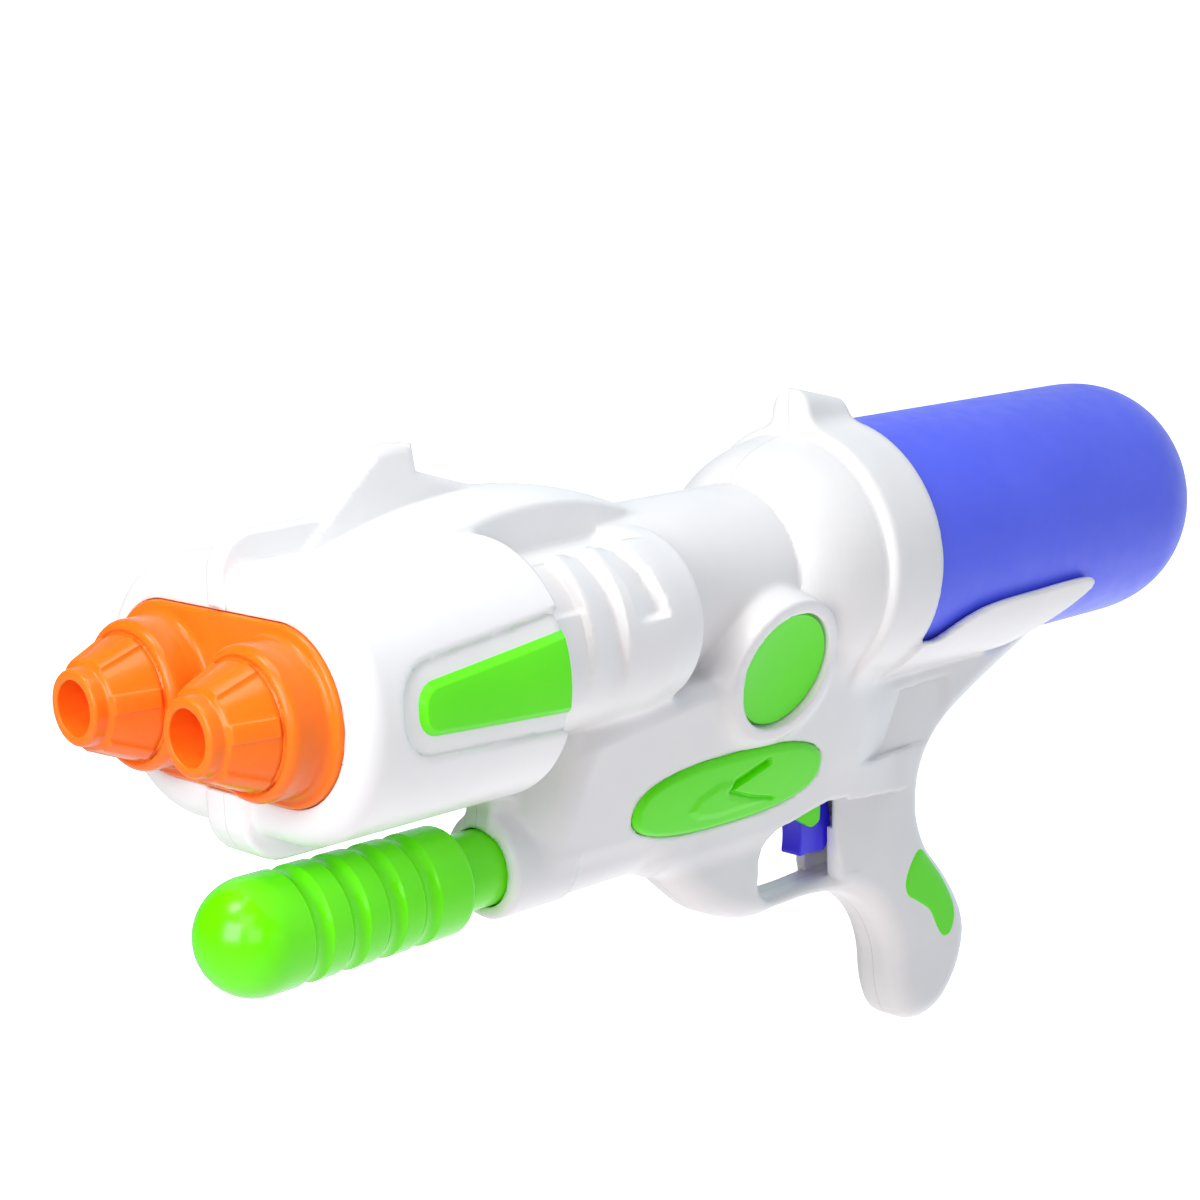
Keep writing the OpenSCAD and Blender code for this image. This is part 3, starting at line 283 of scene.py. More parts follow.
def skin(field, lo, hi, h):
    """Surface of one half by dual contouring: each cell that the surface passes through gets the vertex that lies best
    on the tangent planes at the crossings of its edges, so the moulding's edges stay straight. The layer of cells below
    y = 0 keeps its vertices on the parting plane and closes the half flat. The field is read in blocks of four cells
    first, and in full only where a block is near the surface. A cell measures h[0] by h[1] by h[2]."""
    one = np.eye(3, dtype=int)
    probe = 0.2 * one  # steps to the points between which the field's slope is read
    h = np.broadcast_to(np.asarray(h, float), 3)
    n = 4 * np.ceil((np.array(hi) - lo) / h / 4).astype(int)
    corner = np.array([lo[0], -h[1], lo[2]], float)
    ax = [corner[i] + h[i] * np.arange(n[i]) for i in range(3)]
    rough = np.meshgrid(*(a.reshape(-1, 4).mean(1) for a in ax), indexing="ij")
    f = field(*(a.ravel() for a in rough)).reshape(rough[0].shape)
    for i in range(3):
        f = np.repeat(f, 4, i)
    fine = np.argwhere(abs(f) < 9)
    f[tuple(fine.T)] = field(*(ax[i][fine[:, i]] for i in range(3)))
    f[:, 0] = 30.0
    s = f < 0
    shape = n - 1
    sums = np.zeros((13, shape.prod()))  # normal products, normal times offset, crossing points and their number
    faces = []
    for m in range(3):
        u, v = (m + 1) % 3, (m + 2) % 3
        a, b = [slice(None)] * 3, [slice(None)] * 3
        a[m], b[m] = slice(0, -1), slice(1, None)
        e = np.argwhere(s[tuple(a)] != s[tuple(b)])
        e = e[(e[:, u] > 0) & (e[:, v] > 0) & (e[:, u] < shape[u]) & (e[:, v] < shape[v])]
        ring = np.stack([np.ravel_multi_index((e + du * one[u] + dv * one[v]).T, shape)
                         for du, dv in ((-1, -1), (0, -1), (0, 0), (-1, 0))], 1)
        flip = ~s[tuple(e.T)]
        faces.append(np.where(flip[:, None], ring[:, ::-1], ring))
        real = e[:, 1] > 0 if m == 1 else np.ones(len(e), bool)
        e, ring = e[real], ring[real]
        va, vb = f[tuple(e.T)], f[tuple((e + one[m]).T)]
        p = corner + h * (e + (va / (va - vb))[:, None] * one[m])
        g = np.stack([field(*(p + d).T) - field(*(p - d).T) for d in probe], 1) / 0.4
        slope = np.where(abs(g[:, m]) > 0.15, g[:, m], np.inf)
        p += np.clip(-field(*p.T) / slope, -0.4 * h[m], 0.4 * h[m])[:, None] * one[m]
        g /= np.maximum(np.linalg.norm(g, axis=1, keepdims=True), 1e-9)
        flat_g = g * (1, 0, 1)
        for k in range(4):
            low = np.unravel_index(ring[:, k], shape)[1] == 0
            q = np.where(low[:, None], flat_g, g)
            reach = (q * p).sum(1)
            rows = [q[:, i] * q[:, j] for i, j in ((0, 0), (1, 1), (2, 2), (0, 1), (0, 2), (1, 2))]
            rows += [*(q * reach[:, None]).T, *p.T, np.ones(len(p))]
            for total, row in zip(sums, rows):
                total += np.bincount(ring[:, k], row, len(total))
    faces = np.concatenate(faces)
    used, faces = np.unique(faces, return_inverse=True)
    faces = faces.reshape(-1, 4)
    cell = np.stack(np.unravel_index(used, shape), 1)
    t = sums[:, used]
    centre = corner + h * (cell + 0.5)
    count = np.maximum(t[12], 1)
    mean = np.where(t[12, :, None] > 0, t[9:12].T / count[:, None], centre)
    xx, yy, zz, xy, xz, yz = t[:6] / count
    pull = 0.02  # draw to the mean of the crossings, where the planes leave a vertex loose
    grid = np.stack([np.stack([xx + pull, xy, xz], -1), np.stack([xy, yy + pull, yz], -1),
                     np.stack([xz, yz, zz + pull], -1)], -2)
    at = np.linalg.solve(grid, (t[6:9].T / count[:, None] + pull * mean)[..., None])[..., 0]
    at = np.clip(at, centre - 0.55 * h, centre + 0.55 * h)
    at[cell[:, 1] == 0, 1] = 0
    g = np.stack([field(*(at + d).T) - field(*(at - d).T) for d in probe], 1)
    g[cell[:, 1] == 0, 1] = 0
    g[t[12] == 0] = (0, -1, 0)
    return at, faces, g / np.maximum(np.linalg.norm(g, axis=1, keepdims=True), 1e-9)


def weld(points, faces):
    """Faces with equal points shared: a square that loses a corner becomes a triangle, and one that loses two goes."""
    first, same = np.unique(np.round(points, 4), axis=0, return_index=True, return_inverse=True)[1:]
    keep = first[same.ravel()]
    quads, three = (keep[q] for q in faces)
    dup = quads == np.roll(quads, -1, 1)
    lost = dup.sum(1)
    kept = [np.delete(quads[dup[:, k] & (lost == 1)], k, 1) for k in range(4)]
    three = np.concatenate([three, *kept])
    three = three[(three != np.roll(three, -1, 1)).all(1)]
    return [quads[lost == 0], three]


def mesh(name, points, faces, normals=None):
    """Mesh object at the origin from points in the barrel frame. Faces are arrays of corners; they are turned round if
    the volume they close is negative. Without normals, each vertex takes the mean of its faces weighted by area."""
    points = np.asarray(points, float)
    faces = [faces] if isinstance(faces, np.ndarray) else weld(points, faces)
    across = []
    for q in faces:
        p = points[q]
        across.append(np.cross(p[:, 2] - p[:, 0], p[:, -1] - p[:, 1]) / 2)
    volume = sum((points[q].mean(1) * n).sum() for q, n in zip(faces, across))
    if volume < 0:
        faces, across = [q[:, ::-1] for q in faces], [-n for n in across]
    if normals is None:
        normals = np.zeros(points.shape)
        for q, n in zip(faces, across):
            for k in range(q.shape[1]):
                np.add.at(normals, q[:, k], n)
        normals /= np.maximum(np.linalg.norm(normals, axis=1, keepdims=True), 1e-12)
    used = np.unique(np.concatenate([q.ravel() for q in faces]))
    place = np.zeros(len(points), int)
    place[used] = np.arange(len(used))
    points, normals, faces = points[used], np.asarray(normals)[used], [place[q] for q in faces]
    data = bpy.data.meshes.new(name)
    data.from_pydata(((points + GRIP) / 1000).tolist(), [], sum((q.tolist() for q in faces), []))
    data.shade_smooth()
    data.normals_split_custom_set_from_vertices(normals.tolist())
    piece = bpy.data.objects.new(name, data)
    bpy.context.collection.objects.link(piece)
    return piece


def wire(tree, kind, values=(), links=()):
    """Shader node with its socket values and the sockets that feed it."""
    node = tree.nodes.new(kind)
    for key, value in dict(values).items():
        if isinstance(key, str) and hasattr(node, key):
            setattr(node, key, value)
        else:
            node.inputs[key].default_value = value
    for key, source in dict(links).items():
        tree.links.new(source, node.inputs[key])
    return node


# Skin of moulded plastic: a slow drift between two tones, gloss that varies a little, and the fine grain of the mould.
moulded = bpy.data.node_groups.new("moulded_skin", "ShaderNodeTree")
for label, kind, way in (("Tone", "NodeSocketColor", "INPUT"), ("Second tone", "NodeSocketColor", "INPUT"),
                         ("Least rough", "NodeSocketFloat", "INPUT"), ("Most rough", "NodeSocketFloat", "INPUT"),
                         ("Grain", "NodeSocketFloat", "INPUT"), ("Color", "NodeSocketColor", "OUTPUT"),
                         ("Roughness", "NodeSocketFloat", "OUTPUT"), ("Height", "NodeSocketFloat", "OUTPUT")):
    moulded.interface.new_socket(label, in_out=way, socket_type=kind)
given = moulded.nodes.new("NodeGroupInput")
place = moulded.nodes.new("ShaderNodeTexCoord").outputs["Object"]
drift = wire(moulded, "ShaderNodeTexNoise", {"Scale": 26.0, "Detail": 3.0}, {"Vector": place})
tone = wire(moulded, "ShaderNodeMapRange", {"From Min": 0.35, "From Max": 0.65}, {"Value": drift.outputs["Fac"]})
shade = wire(moulded, "ShaderNodeMix", {"data_type": "RGBA"}, {0: tone.outputs["Result"]})
moulded.links.new(given.outputs["Tone"], shade.inputs[6])
moulded.links.new(given.outputs["Second tone"], shade.inputs[7])
patchy = wire(moulded, "ShaderNodeTexNoise", {"Scale": 140.0, "Detail": 4.0}, {"Vector": place})
gloss = wire(moulded, "ShaderNodeMapRange", {"From Min": 0.3, "From Max": 0.7}, {
    "Value": patchy.outputs["Fac"], "To Min": given.outputs["Least rough"], "To Max": given.outputs["Most rough"]})
grain = wire(moulded, "ShaderNodeTexNoise", {"Detail": 2.0}, {"Vector": place, "Scale": given.outputs["Grain"]})
wire(moulded, "NodeGroupOutput", (), {"Color": shade.outputs[2], "Roughness": gloss.outputs["Result"],
                                      "Height": grain.outputs["Fac"]})


def plastic(name, tone, second, rough, grain=900.0, relief=0.00002, **sockets):
    """Moulded plastic: the skin group feeds colour, roughness and a bump of the given relief in metres."""
    material = bpy.data.materials.new(name)
    material.use_nodes = True
    tree = material.node_tree
    shader = tree.nodes["Principled BSDF"]
    skin_node = tree.nodes.new("ShaderNodeGroup")
    skin_node.node_tree = moulded
    skin_node.name = "skin"
    skin_node.inputs["Tone"].default_value = (*tone, 1)
    skin_node.inputs["Second tone"].default_value = (*second, 1)
    skin_node.inputs["Least rough"].default_value, skin_node.inputs["Most rough"].default_value = rough
    skin_node.inputs["Grain"].default_value = grain
    bump = wire(tree, "ShaderNodeBump", {"Strength": 0.6, "Distance": relief}, {"Height": skin_node.outputs["Height"]})
    tree.links.new(skin_node.outputs["Color"], shader.inputs["Base Color"])
    tree.links.new(skin_node.outputs["Roughness"], shader.inputs["Roughness"])
    tree.links.new(bump.outputs["Normal"], shader.inputs["Normal"])
    for key, value in sockets.items():
        shader.inputs[key.replace("_", " ")].default_value = value
    return material


white = plastic("white_casing", (0.84, 0.84, 0.855), (0.80, 0.80, 0.82), (0.29, 0.37), 700.0, 0.000004)
# the joint between the halves shows as a hair line on the parting plane
tree = white.node_tree
shader = tree.nodes["Principled BSDF"]
across = wire(tree, "ShaderNodeSeparateXYZ", (), {0: tree.nodes.new("ShaderNodeTexCoord").outputs["Object"]})
off = wire(tree, "ShaderNodeMath", {"operation": "ABSOLUTE"}, {0: across.outputs["Y"]})
line = wire(tree, "ShaderNodeMapRange", {"From Min": 0.00005, "From Max": 0.00014}, {"Value": off.outputs[0]})
seam = wire(tree, "ShaderNodeMix", {"data_type": "RGBA", 6: (0.52, 0.52, 0.54, 1)}, {
    0: line.outputs["Result"], 7: tree.nodes["skin"].outputs["Color"]})
tree.links.new(seam.outputs[2], shader.inputs["Base Color"])

cells = ((1.7, 1.15, 1.15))
MIRROR = np.array([1, -1, 1])
BOX = (-112, 0, -187), (277, 64, 64)  # corners of the room that holds a half
points, faces, normals = skin(casing, *BOX, cells)
left = mesh("casing_left", points, faces, normals)
points, faces, normals = skin(casing_right, *BOX, cells)
right = mesh("casing_right", points * MIRROR, faces[:, ::-1], normals * MIRROR)
for half, node in ((left, "body_left"), (right, "body_right")):
    half.data.materials.append(white)
    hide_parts(node)
    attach(half, "body")

# Screws
# Cross-head steel screws draw the halves together from the right side. Their solids are right as they are, and get a
# bright turned steel.


def metal(name, tone, rough, turning=2600.0):
    """Bare metal with the fine marks of turning as a noise in roughness and bump."""
    material = bpy.data.materials.new(name)
    material.use_nodes = True
    tree = material.node_tree
    shader = tree.nodes["Principled BSDF"]
    shader.inputs["Base Color"].default_value = (*tone, 1)
    shader.inputs["Metallic"].default_value = 1.0
    place = tree.nodes.new("ShaderNodeTexCoord").outputs["Object"]
    marks = wire(tree, "ShaderNodeTexNoise", {"Scale": turning, "Detail": 3.0}, {"Vector": place})
    spread = wire(tree, "ShaderNodeMapRange", {"To Min": rough - 0.08, "To Max": rough + 0.1},
                  {"Value": marks.outputs["Fac"]})
    bump = wire(tree, "ShaderNodeBump", {"Strength": 0.4, "Distance": 0.00001}, {"Height": marks.outputs["Fac"]})
    tree.links.new(spread.outputs["Result"], shader.inputs["Roughness"])
    tree.links.new(bump.outputs["Normal"], shader.inputs["Normal"])
    return material


def finish(material, *names):
    """The material on CAD nodes that stay as they are."""
    for name in names:
        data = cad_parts[name].data
        data.materials.clear()
        data.materials.append(material)


steel = metal("bright_steel", (0.72, 0.73, 0.75), 0.3)
finish(steel, "body_screws")

# Nose plate and nozzles
# An orange moulding closes the nose: a pill-shaped plate with a rounded rim that flares into two rings. A ribbed cone
# is pressed into each ring, and a small jet sits at the foot of its mouth. The plate and its rings flow into each
# other, so they are meshed from a field as the casing is; the cones are surfaces of length and angle.

PLATE_R, RING_R = 26.2, 22.3  # round ends of the plate, and the rings
CUP_R, BORE_R = 19.3, 9.2  # hollow behind a ring's face, and the bore for the cone's foot


def nose(x, y, z):
    """Distance to the plate: a rimmed pill joined by fillets to the rings round the nozzles, less the bores."""
    y = abs(y)
    r = np.hypot(y - NOZZLE_Y, z - NOSE_Z)
    rr = np.hypot(np.maximum(y - NOZZLE_Y, 0), z - NOSE_Z)
    plate = both(both(rr - PLATE_R, x - 270.4, 1.5), 264.2 - x, 0.4)
    ring = both(r - RING_R - 0.6 * np.clip((275 - x) / 6, 0, 1), x - 283.2, 3.0)
    d = join(plate, np.maximum(ring, 266 - x), 2.2)
    groove = np.maximum(abs(r - 19.1) - 0.4, 282.5 - x)
    d = less(d, groove, 0.4)
    return less(d, np.minimum(r - BORE_R, np.maximum(r - CUP_R, x - 280)), 0.4)


def whole(points, faces, normals):
    """Both sides of a mirror piece from its half: the flat closing faces go, and the seam's vertices are shared."""
    seam = points[:, 1] == 0
    faces = faces[~seam[faces].all(1)]
    other = np.where(seam, np.arange(len(points)), len(points) + np.cumsum(~seam) - 1)
    return (np.r_[points, points[~seam] * MIRROR], np.r_[faces, other[faces][:, ::-1]],
            np.r_[normals, normals[~seam] * MIRROR])


def soften(line, r, n=4, closed=False):
    """Line whose corners are cut back by r and bridged by a parabola of n steps."""
    p = np.asarray(line, float)
    a, b, c = (np.roll(p, 1, 0), p, np.roll(p, -1, 0)) if closed else (p[:-2], p[1:-1], p[2:])
    la, lc = (np.linalg.norm(q - b, axis=1, keepdims=True) for q in (a, c))
    cut = np.minimum(np.broadcast_to(np.reshape(r, (-1, 1)), la.shape), 0.48 * np.minimum(la, lc))
    s, e = (b + (a - b) / la * cut)[:, None], (b + (c - b) / lc * cut)[:, None]
    t = np.linspace(0, 1, n + 1)[None, :, None]
    q = ((1 - t) ** 2 * s + 2 * t * (1 - t) * b[:, None] + t**2 * e).reshape(-1, 2)
    return q if closed else np.r_[p[:1], q, p[-1:]]


def sheath(grid, loop=False):
    """Points and faces over a grid whose columns run round. A row of equal points becomes one pole, and with loop the
    last row meets the first."""
    cols = grid.shape[1]
    pole = np.ptp(grid, axis=1).max(1) < 1e-6
    start = np.cumsum(np.r_[0, np.where(pole, 1, cols)[:-1]])
    index = start[:, None] + np.where(pole[:, None], 0, np.arange(cols))
    points = np.concatenate([row[:1] if one else row for row, one in zip(grid, pole)])
    a, b = (index, np.roll(index, -1, 0)) if loop else (index[:-1], index[1:])
    quads = np.stack([a, np.roll(a, -1, 1), np.roll(b, -1, 1), b], -1).reshape(-1, 4)
    top, foot = quads[:, 0] == quads[:, 1], quads[:, 2] == quads[:, 3]
    return points, [quads[~top & ~foot], np.r_[quads[top][:, [0, 2, 3]], quads[foot][:, [0, 1, 2]]]]


def nozzle_grid(y):
    """Cone as a surface of length and angle: a turned profile whose cone carries six ribs 5 mm wide. The columns follow
    the sides of the ribs, so an angle is the arc from the rib's middle divided by the radius."""
    line = soften([(283, 9.1), (283, 18.4), (284.4, 18.3), (296.6, 13.0), (297.2, 11.6), (301.5, 11.1), (301.5, 8.1),
                   (288.5, 8.1), (288.5, 4.0), (262, 4.0), (262, 9.1)],
                  [0.5, 0.6, 0.7, 0.6, 1.3, 0.7, 0.4, 0.3, 0.3], 4)
    x, r = line.T
    sixth = np.pi / 3  # one rib and the pane beside it
    rib = np.array([-2.9, -2.55, -2.3, -1, 1, 2.3, 2.55, 2.9])
    rise = np.array([0, 0.75, 1, 1, 1, 1, 0.75, 0])
    pane = np.linspace(0, 1, 9)[1:-1]
    half = rib[-1] / np.maximum(r, 8)[:, None]
    arcs = np.c_[rib / np.maximum(r, 8)[:, None], half + (sixth - 2 * half) * pane]
    lift = np.r_[rise, 0 * pane]
    angle = (arcs[:, None] + sixth * np.arange(6)[None, :, None]).reshape(len(x), -1) + np.radians(8)
    cone = step(x, 283.2, 284.6) * step(-x, -297.0, -296.0) * (r > 11.8)
    rad = r[:, None] + 0.95 * cone[:, None] * np.tile(lift, 6)
    return np.stack([x[:, None] + 0 * rad, y + rad * np.cos(angle), NOSE_Z + rad * np.sin(angle)], -1)


orange = plastic("orange_nose", (1.0, 0.195, 0.012), (1.0, 0.172, 0.009), (0.19, 0.26), 700.0, 0.00001,
                 Specular_IOR_Level=0.3, Subsurface_Weight=0.25, Subsurface_Radius=(0.006, 0.002, 0.001),
                 Subsurface_Scale=1.0)
plate = mesh("nose_moulding", *whole(*skin(nose, (259, 0, -36), (288, 58, 25), 0.7)))
cones = [mesh("nozzle_cone_" + side, *sheath(nozzle_grid(y), True))
         for side, y in (("left", NOZZLE_Y), ("right", -NOZZLE_Y))]
for piece, node in ((plate, "nose_plate"), (cones[0], "nozzle_left"), (cones[1], "nozzle_right")):
    piece.data.materials.append(orange)
    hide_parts(node)
    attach(piece, "body")
grey = plastic("grey_inner_parts", (0.42, 0.43, 0.45), (0.38, 0.39, 0.41), (0.4, 0.52))
finish(metal("brass_jets", (0.80, 0.56, 0.22), 0.32), "jet_left", "jet_right")
finish(grey, "manifold", "tank_socket", "pump_barrel", "check_valve", "valve_body", "valve_plunger", "piston")

# Tank
# A blow-moulded blue bottle with a full round end. It lies in the white tray, and its neck screws into the socket
# behind the casing's neck, on a rubber gasket.

TANK_END, TANK_WALL = -177.0, 1.8
SHOULDER, TANK_NECK = 12.0, 17.5  # radius of the shoulder's round, and of the neck


def turned(line, n=128, y=0.0, z=0.0):
    """A line of lengths and radii carried round the axis through (y, z)."""
    x, r = np.asarray(line, float).T[:, :, None]
    a = np.linspace(0, 2 * np.pi, n, endpoint=False)
    return np.stack([x + 0 * a, y + r * np.cos(a), z + r * np.sin(a)], -1)


def bottle(t):
    """Line of the bottle's wall, t inside its skin: a squarish end, the side, the shoulder and the neck."""
    a = np.linspace(0, np.pi / 2, 33)
    end = np.c_[TANK_END + t + (40 - t) * (1 - np.cos(a) ** 0.74), (TANK_R - t) * np.sin(a) ** 0.74]
    b = np.radians(np.linspace(90, 20, 13))
    turn = np.c_[10.2 + (SHOULDER - t) * np.cos(b), TANK_R - SHOULDER + (SHOULDER - t) * np.sin(b)]
    return np.r_[end, turn, [(22.2 - t, 21.5 - t), (23.6 - t, TANK_NECK - t), (47, TANK_NECK - t)]]


blue = plastic("blue_tank", (0.066, 0.104, 0.96), (0.074, 0.114, 1.0), (0.38, 0.48), 1500.0, 0.000014)
# painted light: the bottle is made paler along its foot and round its end, a painted glow for bounce light from the
# floor and the white behind
tree = blue.node_tree
spot = wire(tree, "ShaderNodeSeparateXYZ", (), {0: tree.nodes.new("ShaderNodeTexCoord").outputs["Object"]})
foot = wire(tree, "ShaderNodeMapRange", {"interpolation_type": "SMOOTHSTEP", "From Min": 0.122, "From Max": 0.099},
            {"Value": spot.outputs["Z"]})
end = wire(tree, "ShaderNodeMapRange", {"interpolation_type": "SMOOTHSTEP", "From Min": -0.106, "From Max": -0.141},
           {"Value": spot.outputs["X"]})
painted_bounce = wire(tree, "ShaderNodeMath", {"operation": "MAXIMUM"}, {0: foot.outputs["Result"], 1: end.outputs["Result"]})
# the paler blue mixed in there is the painted bounce light
pale = wire(tree, "ShaderNodeMix", {"data_type": "RGBA", 7: (0.155, 0.210, 1.0, 1)}, {
    0: painted_bounce.outputs[0], 6: tree.nodes["skin"].outputs["Color"]})
tree.links.new(pale.outputs[2], tree.nodes["Principled BSDF"].inputs["Base Color"])
outer, inner = bottle(0.0), bottle(TANK_WALL)
outer[0, 1] = inner[0, 1] = 0
tank = mesh("water_tank", *sheath(turned(np.r_[outer, inner[::-1]])))
tank.data.materials.append(blue)
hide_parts("tank")
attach(tank, "tank_body")
rubber = plastic("black_rubber", (0.022, 0.022, 0.024), (0.03, 0.03, 0.03), (0.6, 0.75), 1800.0, 0.00003)
finish(rubber, "tank_gasket", "piston_ring")

# Pump
# A green rod with a piston runs in a grey barrel inside the casing. The hollow grip pushed on its front end is banded
# for the fingers and closed by a round nose.

GRIP_FRONT, GRIP_NOSE = 263.0, 18.0  # where the round nose begins, and its radius
GROOVES, ROD_SOCKET = np.array([209, 223, 237, 251]), 12.45


def grip_line():
    """Line of the pump grip: a slight taper with dished grooves, a round nose and the rod's socket."""
    x = np.linspace(193.5, GRIP_FRONT, 279)
    groove = abs(x[:, None] - GROOVES).min(1) / 3.5
    r = 17.4 + 0.6 * (x - 191) / 72 - 1.5 * np.clip(1 - groove**2, 0, 1)
    a = np.radians(np.linspace(90, 0, 25))[1:]
    dome = np.c_[GRIP_FRONT + GRIP_NOSE * np.cos(a), GRIP_NOSE * np.sin(a)]
    dome[-1, 1] = 0
    b = np.radians(np.linspace(180, 90, 9))
    rim = np.c_[193.5 + 2.5 * np.cos(b), 14.92 + 2.5 * np.sin(b)]
    c = np.radians(np.linspace(90, 0, 7))
    hollow = np.c_[264 + 9 * np.sin(c), 11.4 * np.cos(c)]
    hollow[0, 1] = 0
    socket = [(191, ROD_SOCKET), (211, ROD_SOCKET), (211, 11.4)]
    return np.r_[dome[::-1], np.c_[x, r][::-1], rim[::-1][1:], socket, hollow[::-1]]


gloss_green = plastic("green_pump", (0.17, 1.0, 0.001), (0.15, 0.96, 0.001), (0.17, 0.25), 600.0, 0.000008,
                      Specular_IOR_Level=0.4, Subsurface_Weight=0.2, Subsurface_Radius=(0.002, 0.006, 0.001),
                      Subsurface_Scale=1.0)
grip = mesh("pump_handle", *sheath(turned(grip_line(), 128, 0.0, PUMP_Z)))
grip.data.materials.append(gloss_green)
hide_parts("pump_grip")
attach(grip, "pump")
finish(gloss_green, "pump_rod")

# Trigger and valve
# A deep blue blade swings on a steel pin in the handle, with a green saddle over its shoulder. Its lobe pushes the
# plunger of a grey valve against a spring.


def plate_grid(outline, rows, place, middle=None):
    """A closed plate over an outline: each row (inset, shrink, height) draws the outline inwards, scales it to its
    middle and lifts it, and place sets the points down. The middle is the mean of the outline if none is given."""
    p = np.asarray(outline, float)
    out = np.roll(p, -1, 0) - np.roll(p, 1, 0)
    out = np.c_[out[:, 1], -out[:, 0]] / np.linalg.norm(out, axis=1, keepdims=True)
    u, v = p.T
    out *= np.sign((u * np.roll(v, -1) - np.roll(u, -1) * v).sum())
    middle = p.mean(0) if middle is None else np.asarray(middle)
    inset, shrink, height = np.asarray(rows, float).T[:, :, None]
    uv = middle + shrink[..., None] * (p - inset[..., None] * out - middle)
    return place(uv[..., 0], uv[..., 1], height + 0 * uv[..., 0])


def slab(half, edge, n=5):
    """Rows of a plate of the given half thickness whose two rims are quarter rounds."""
    a = np.linspace(0, np.pi / 2, n)
    rim = np.c_[edge * (1 - np.sin(a)), np.ones(n), half - edge + edge * np.cos(a)]
    top = [(edge, 0.0, half), (edge, 0.5, half)]
    rows = np.r_[top, rim]
    return np.r_[rows, rows[::-1] * (1, 1, -1)]


def upright(u, v, h):
    """Plate across the squirter: outline in x and z, height along y."""
    return np.stack([u, h, v], -1)


deep_blue = plastic("deep_blue_trigger", (0.045, 0.028, 0.94), (0.05, 0.032, 0.98), (0.29, 0.36), 900.0, 0.00001)
green = plastic("green_inserts", (0.13, 0.88, 0.004), (0.115, 0.84, 0.004), (0.29, 0.37), 900.0, 0.00001,
                Specular_IOR_Level=0.3)
TX, TZ = 20.0, -80.0  # origin of the outlines of blade and saddle
BLADE_HALF, BLADE_EDGE, SADDLE_EDGE = 4.5, 0.6, 0.3
a = np.radians(np.linspace(196, 162, 5))
finger = np.c_[34 + 27 * np.cos(a), -19 + 27 * np.sin(a)]  # hollow for the finger
blade = np.r_[finger, [(4, 6), (6.4, 10.6), (7.2, 14), (5.6, 17.2), (2.8, 18), (0, 16.6), (-3, 12), (-6, 2), (-8, -8),
                       (-10, -20), (-6, -27), (3, -26)]] + (TX, TZ)
blade = soften(blade, 1.8, 4, True)
heart = (TX - 2, TZ - 2)  # the blade bends, and from here its whole outline is seen
trigger = mesh("trigger_blade", *sheath(plate_grid(blade, slab(BLADE_HALF, BLADE_EDGE), upright, heart)))
trigger.data.materials.append(deep_blue)
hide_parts("trigger")
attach(trigger, "trigger_body")

saddle = np.array([(19, -9.6), (16, -7.4), (2, -5.5), (-1, -7.5), (-0.5, -14.5), (4, -16), (8, -13.5),
                   (12, -11)]) + (TX, TZ)
front = np.array([(19, -9.6), (16, -7.4), (8.8, -6.4), (8.8, -13), (12, -11)]) + (TX, TZ)
parts = [sheath(plate_grid(soften(line, 1.7, 4, True), slab(half, SADDLE_EDGE),
                           lambda u, v, h, y=y: upright(u, v, h + y)))
         for line, half, y in ((saddle, 1.2, 5.8), (saddle, 1.2, -5.8), (front, 6.9, 0.0))]
start = np.cumsum([0] + [len(p) for p, _ in parts])
yoke = mesh("trigger_saddle", np.concatenate([p for p, _ in parts]),
            [np.concatenate([f[k] + s for (_, f), s in zip(parts, start)]) for k in (0, 1)])
yoke.data.materials.append(green)
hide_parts("trigger_yoke")
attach(yoke, "trigger_body")
finish(steel, "trigger_pin")

VALVE_Z = -66.0  # height of the plunger's axis


def coil(x0, x1, r, wire_r, turns):
    """Spring wire: a circle carried along a screw line about the plunger's axis, closed by a pole at each end."""
    t = np.linspace(0, 1, 24 * turns + 1)[:, None]
    b = np.radians(np.arange(0, 360, 36))
    a = 2 * np.pi * turns * np.r_[t[:1], t, t[-1:]]
    x = x0 + (x1 - x0) * np.r_[t[:1], t, t[-1:]]
    w = wire_r * np.r_[[[0]], 0 * t + 1, [[0]]]
    out = r + w * np.sin(b)
    return np.stack([x + w * np.cos(b), out * np.cos(a), VALVE_Z + out * np.sin(a)], -1)


spring = mesh("return_spring", *sheath(coil(30.3, 39.2, 3.8, 0.4, 5)))
spring.data.materials.append(steel)
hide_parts("valve_spring")
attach(spring, "body")
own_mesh(spring)

# Hoses
# Three soft clear hoses run inside the casing, from the tank and the pump to the valve and on to the nozzles. Their
# solids are right as they are.
clear = plastic("clear_hose", (0.62, 0.68, 0.70), (0.58, 0.64, 0.66), (0.2, 0.3), 500.0, 0.00001,
                Transmission_Weight=0.6)
finish(clear, "supply_hose", "outlet_hose", "air_hose")

# Green inserts
# A dished disc in each side boss, an oval with a cut notch on each flank, a chamfered wedge in the recess of each side
# of the shroud, and a soft patch flush with each side of the hand grip. All are pressed into pockets of the casing.


def flank(u, v, h):
    """Point of the leaning flank: u along the barrel, v up the flank and h square to it."""
    return np.stack([u, h * np.cos(LEAN) + v * np.sin(LEAN), BOSS[1] - h * np.sin(LEAN) + v * np.cos(LEAN)], -1)


def disc_grid():
    """Dished disc: a turned line of radius and height square to the flank."""
    t = np.linspace(1, 0, 15)
    line = np.r_[[(0, DISC_SEAT), (DISC_R, DISC_SEAT)], np.c_[DISC_R * t - 0.9 * (t == 1), 33.75 + 1.35 * t**2]]
    line = soften(line, [0.3] + [0.9] + [0.3] * (len(line) - 4), 3)
    r, h = line.T[:, :, None]
    a = np.linspace(0, 2 * np.pi, 112, endpoint=False)
    return flank(BOSS[0] + r * np.cos(a), r * np.sin(a), h + 0 * a)


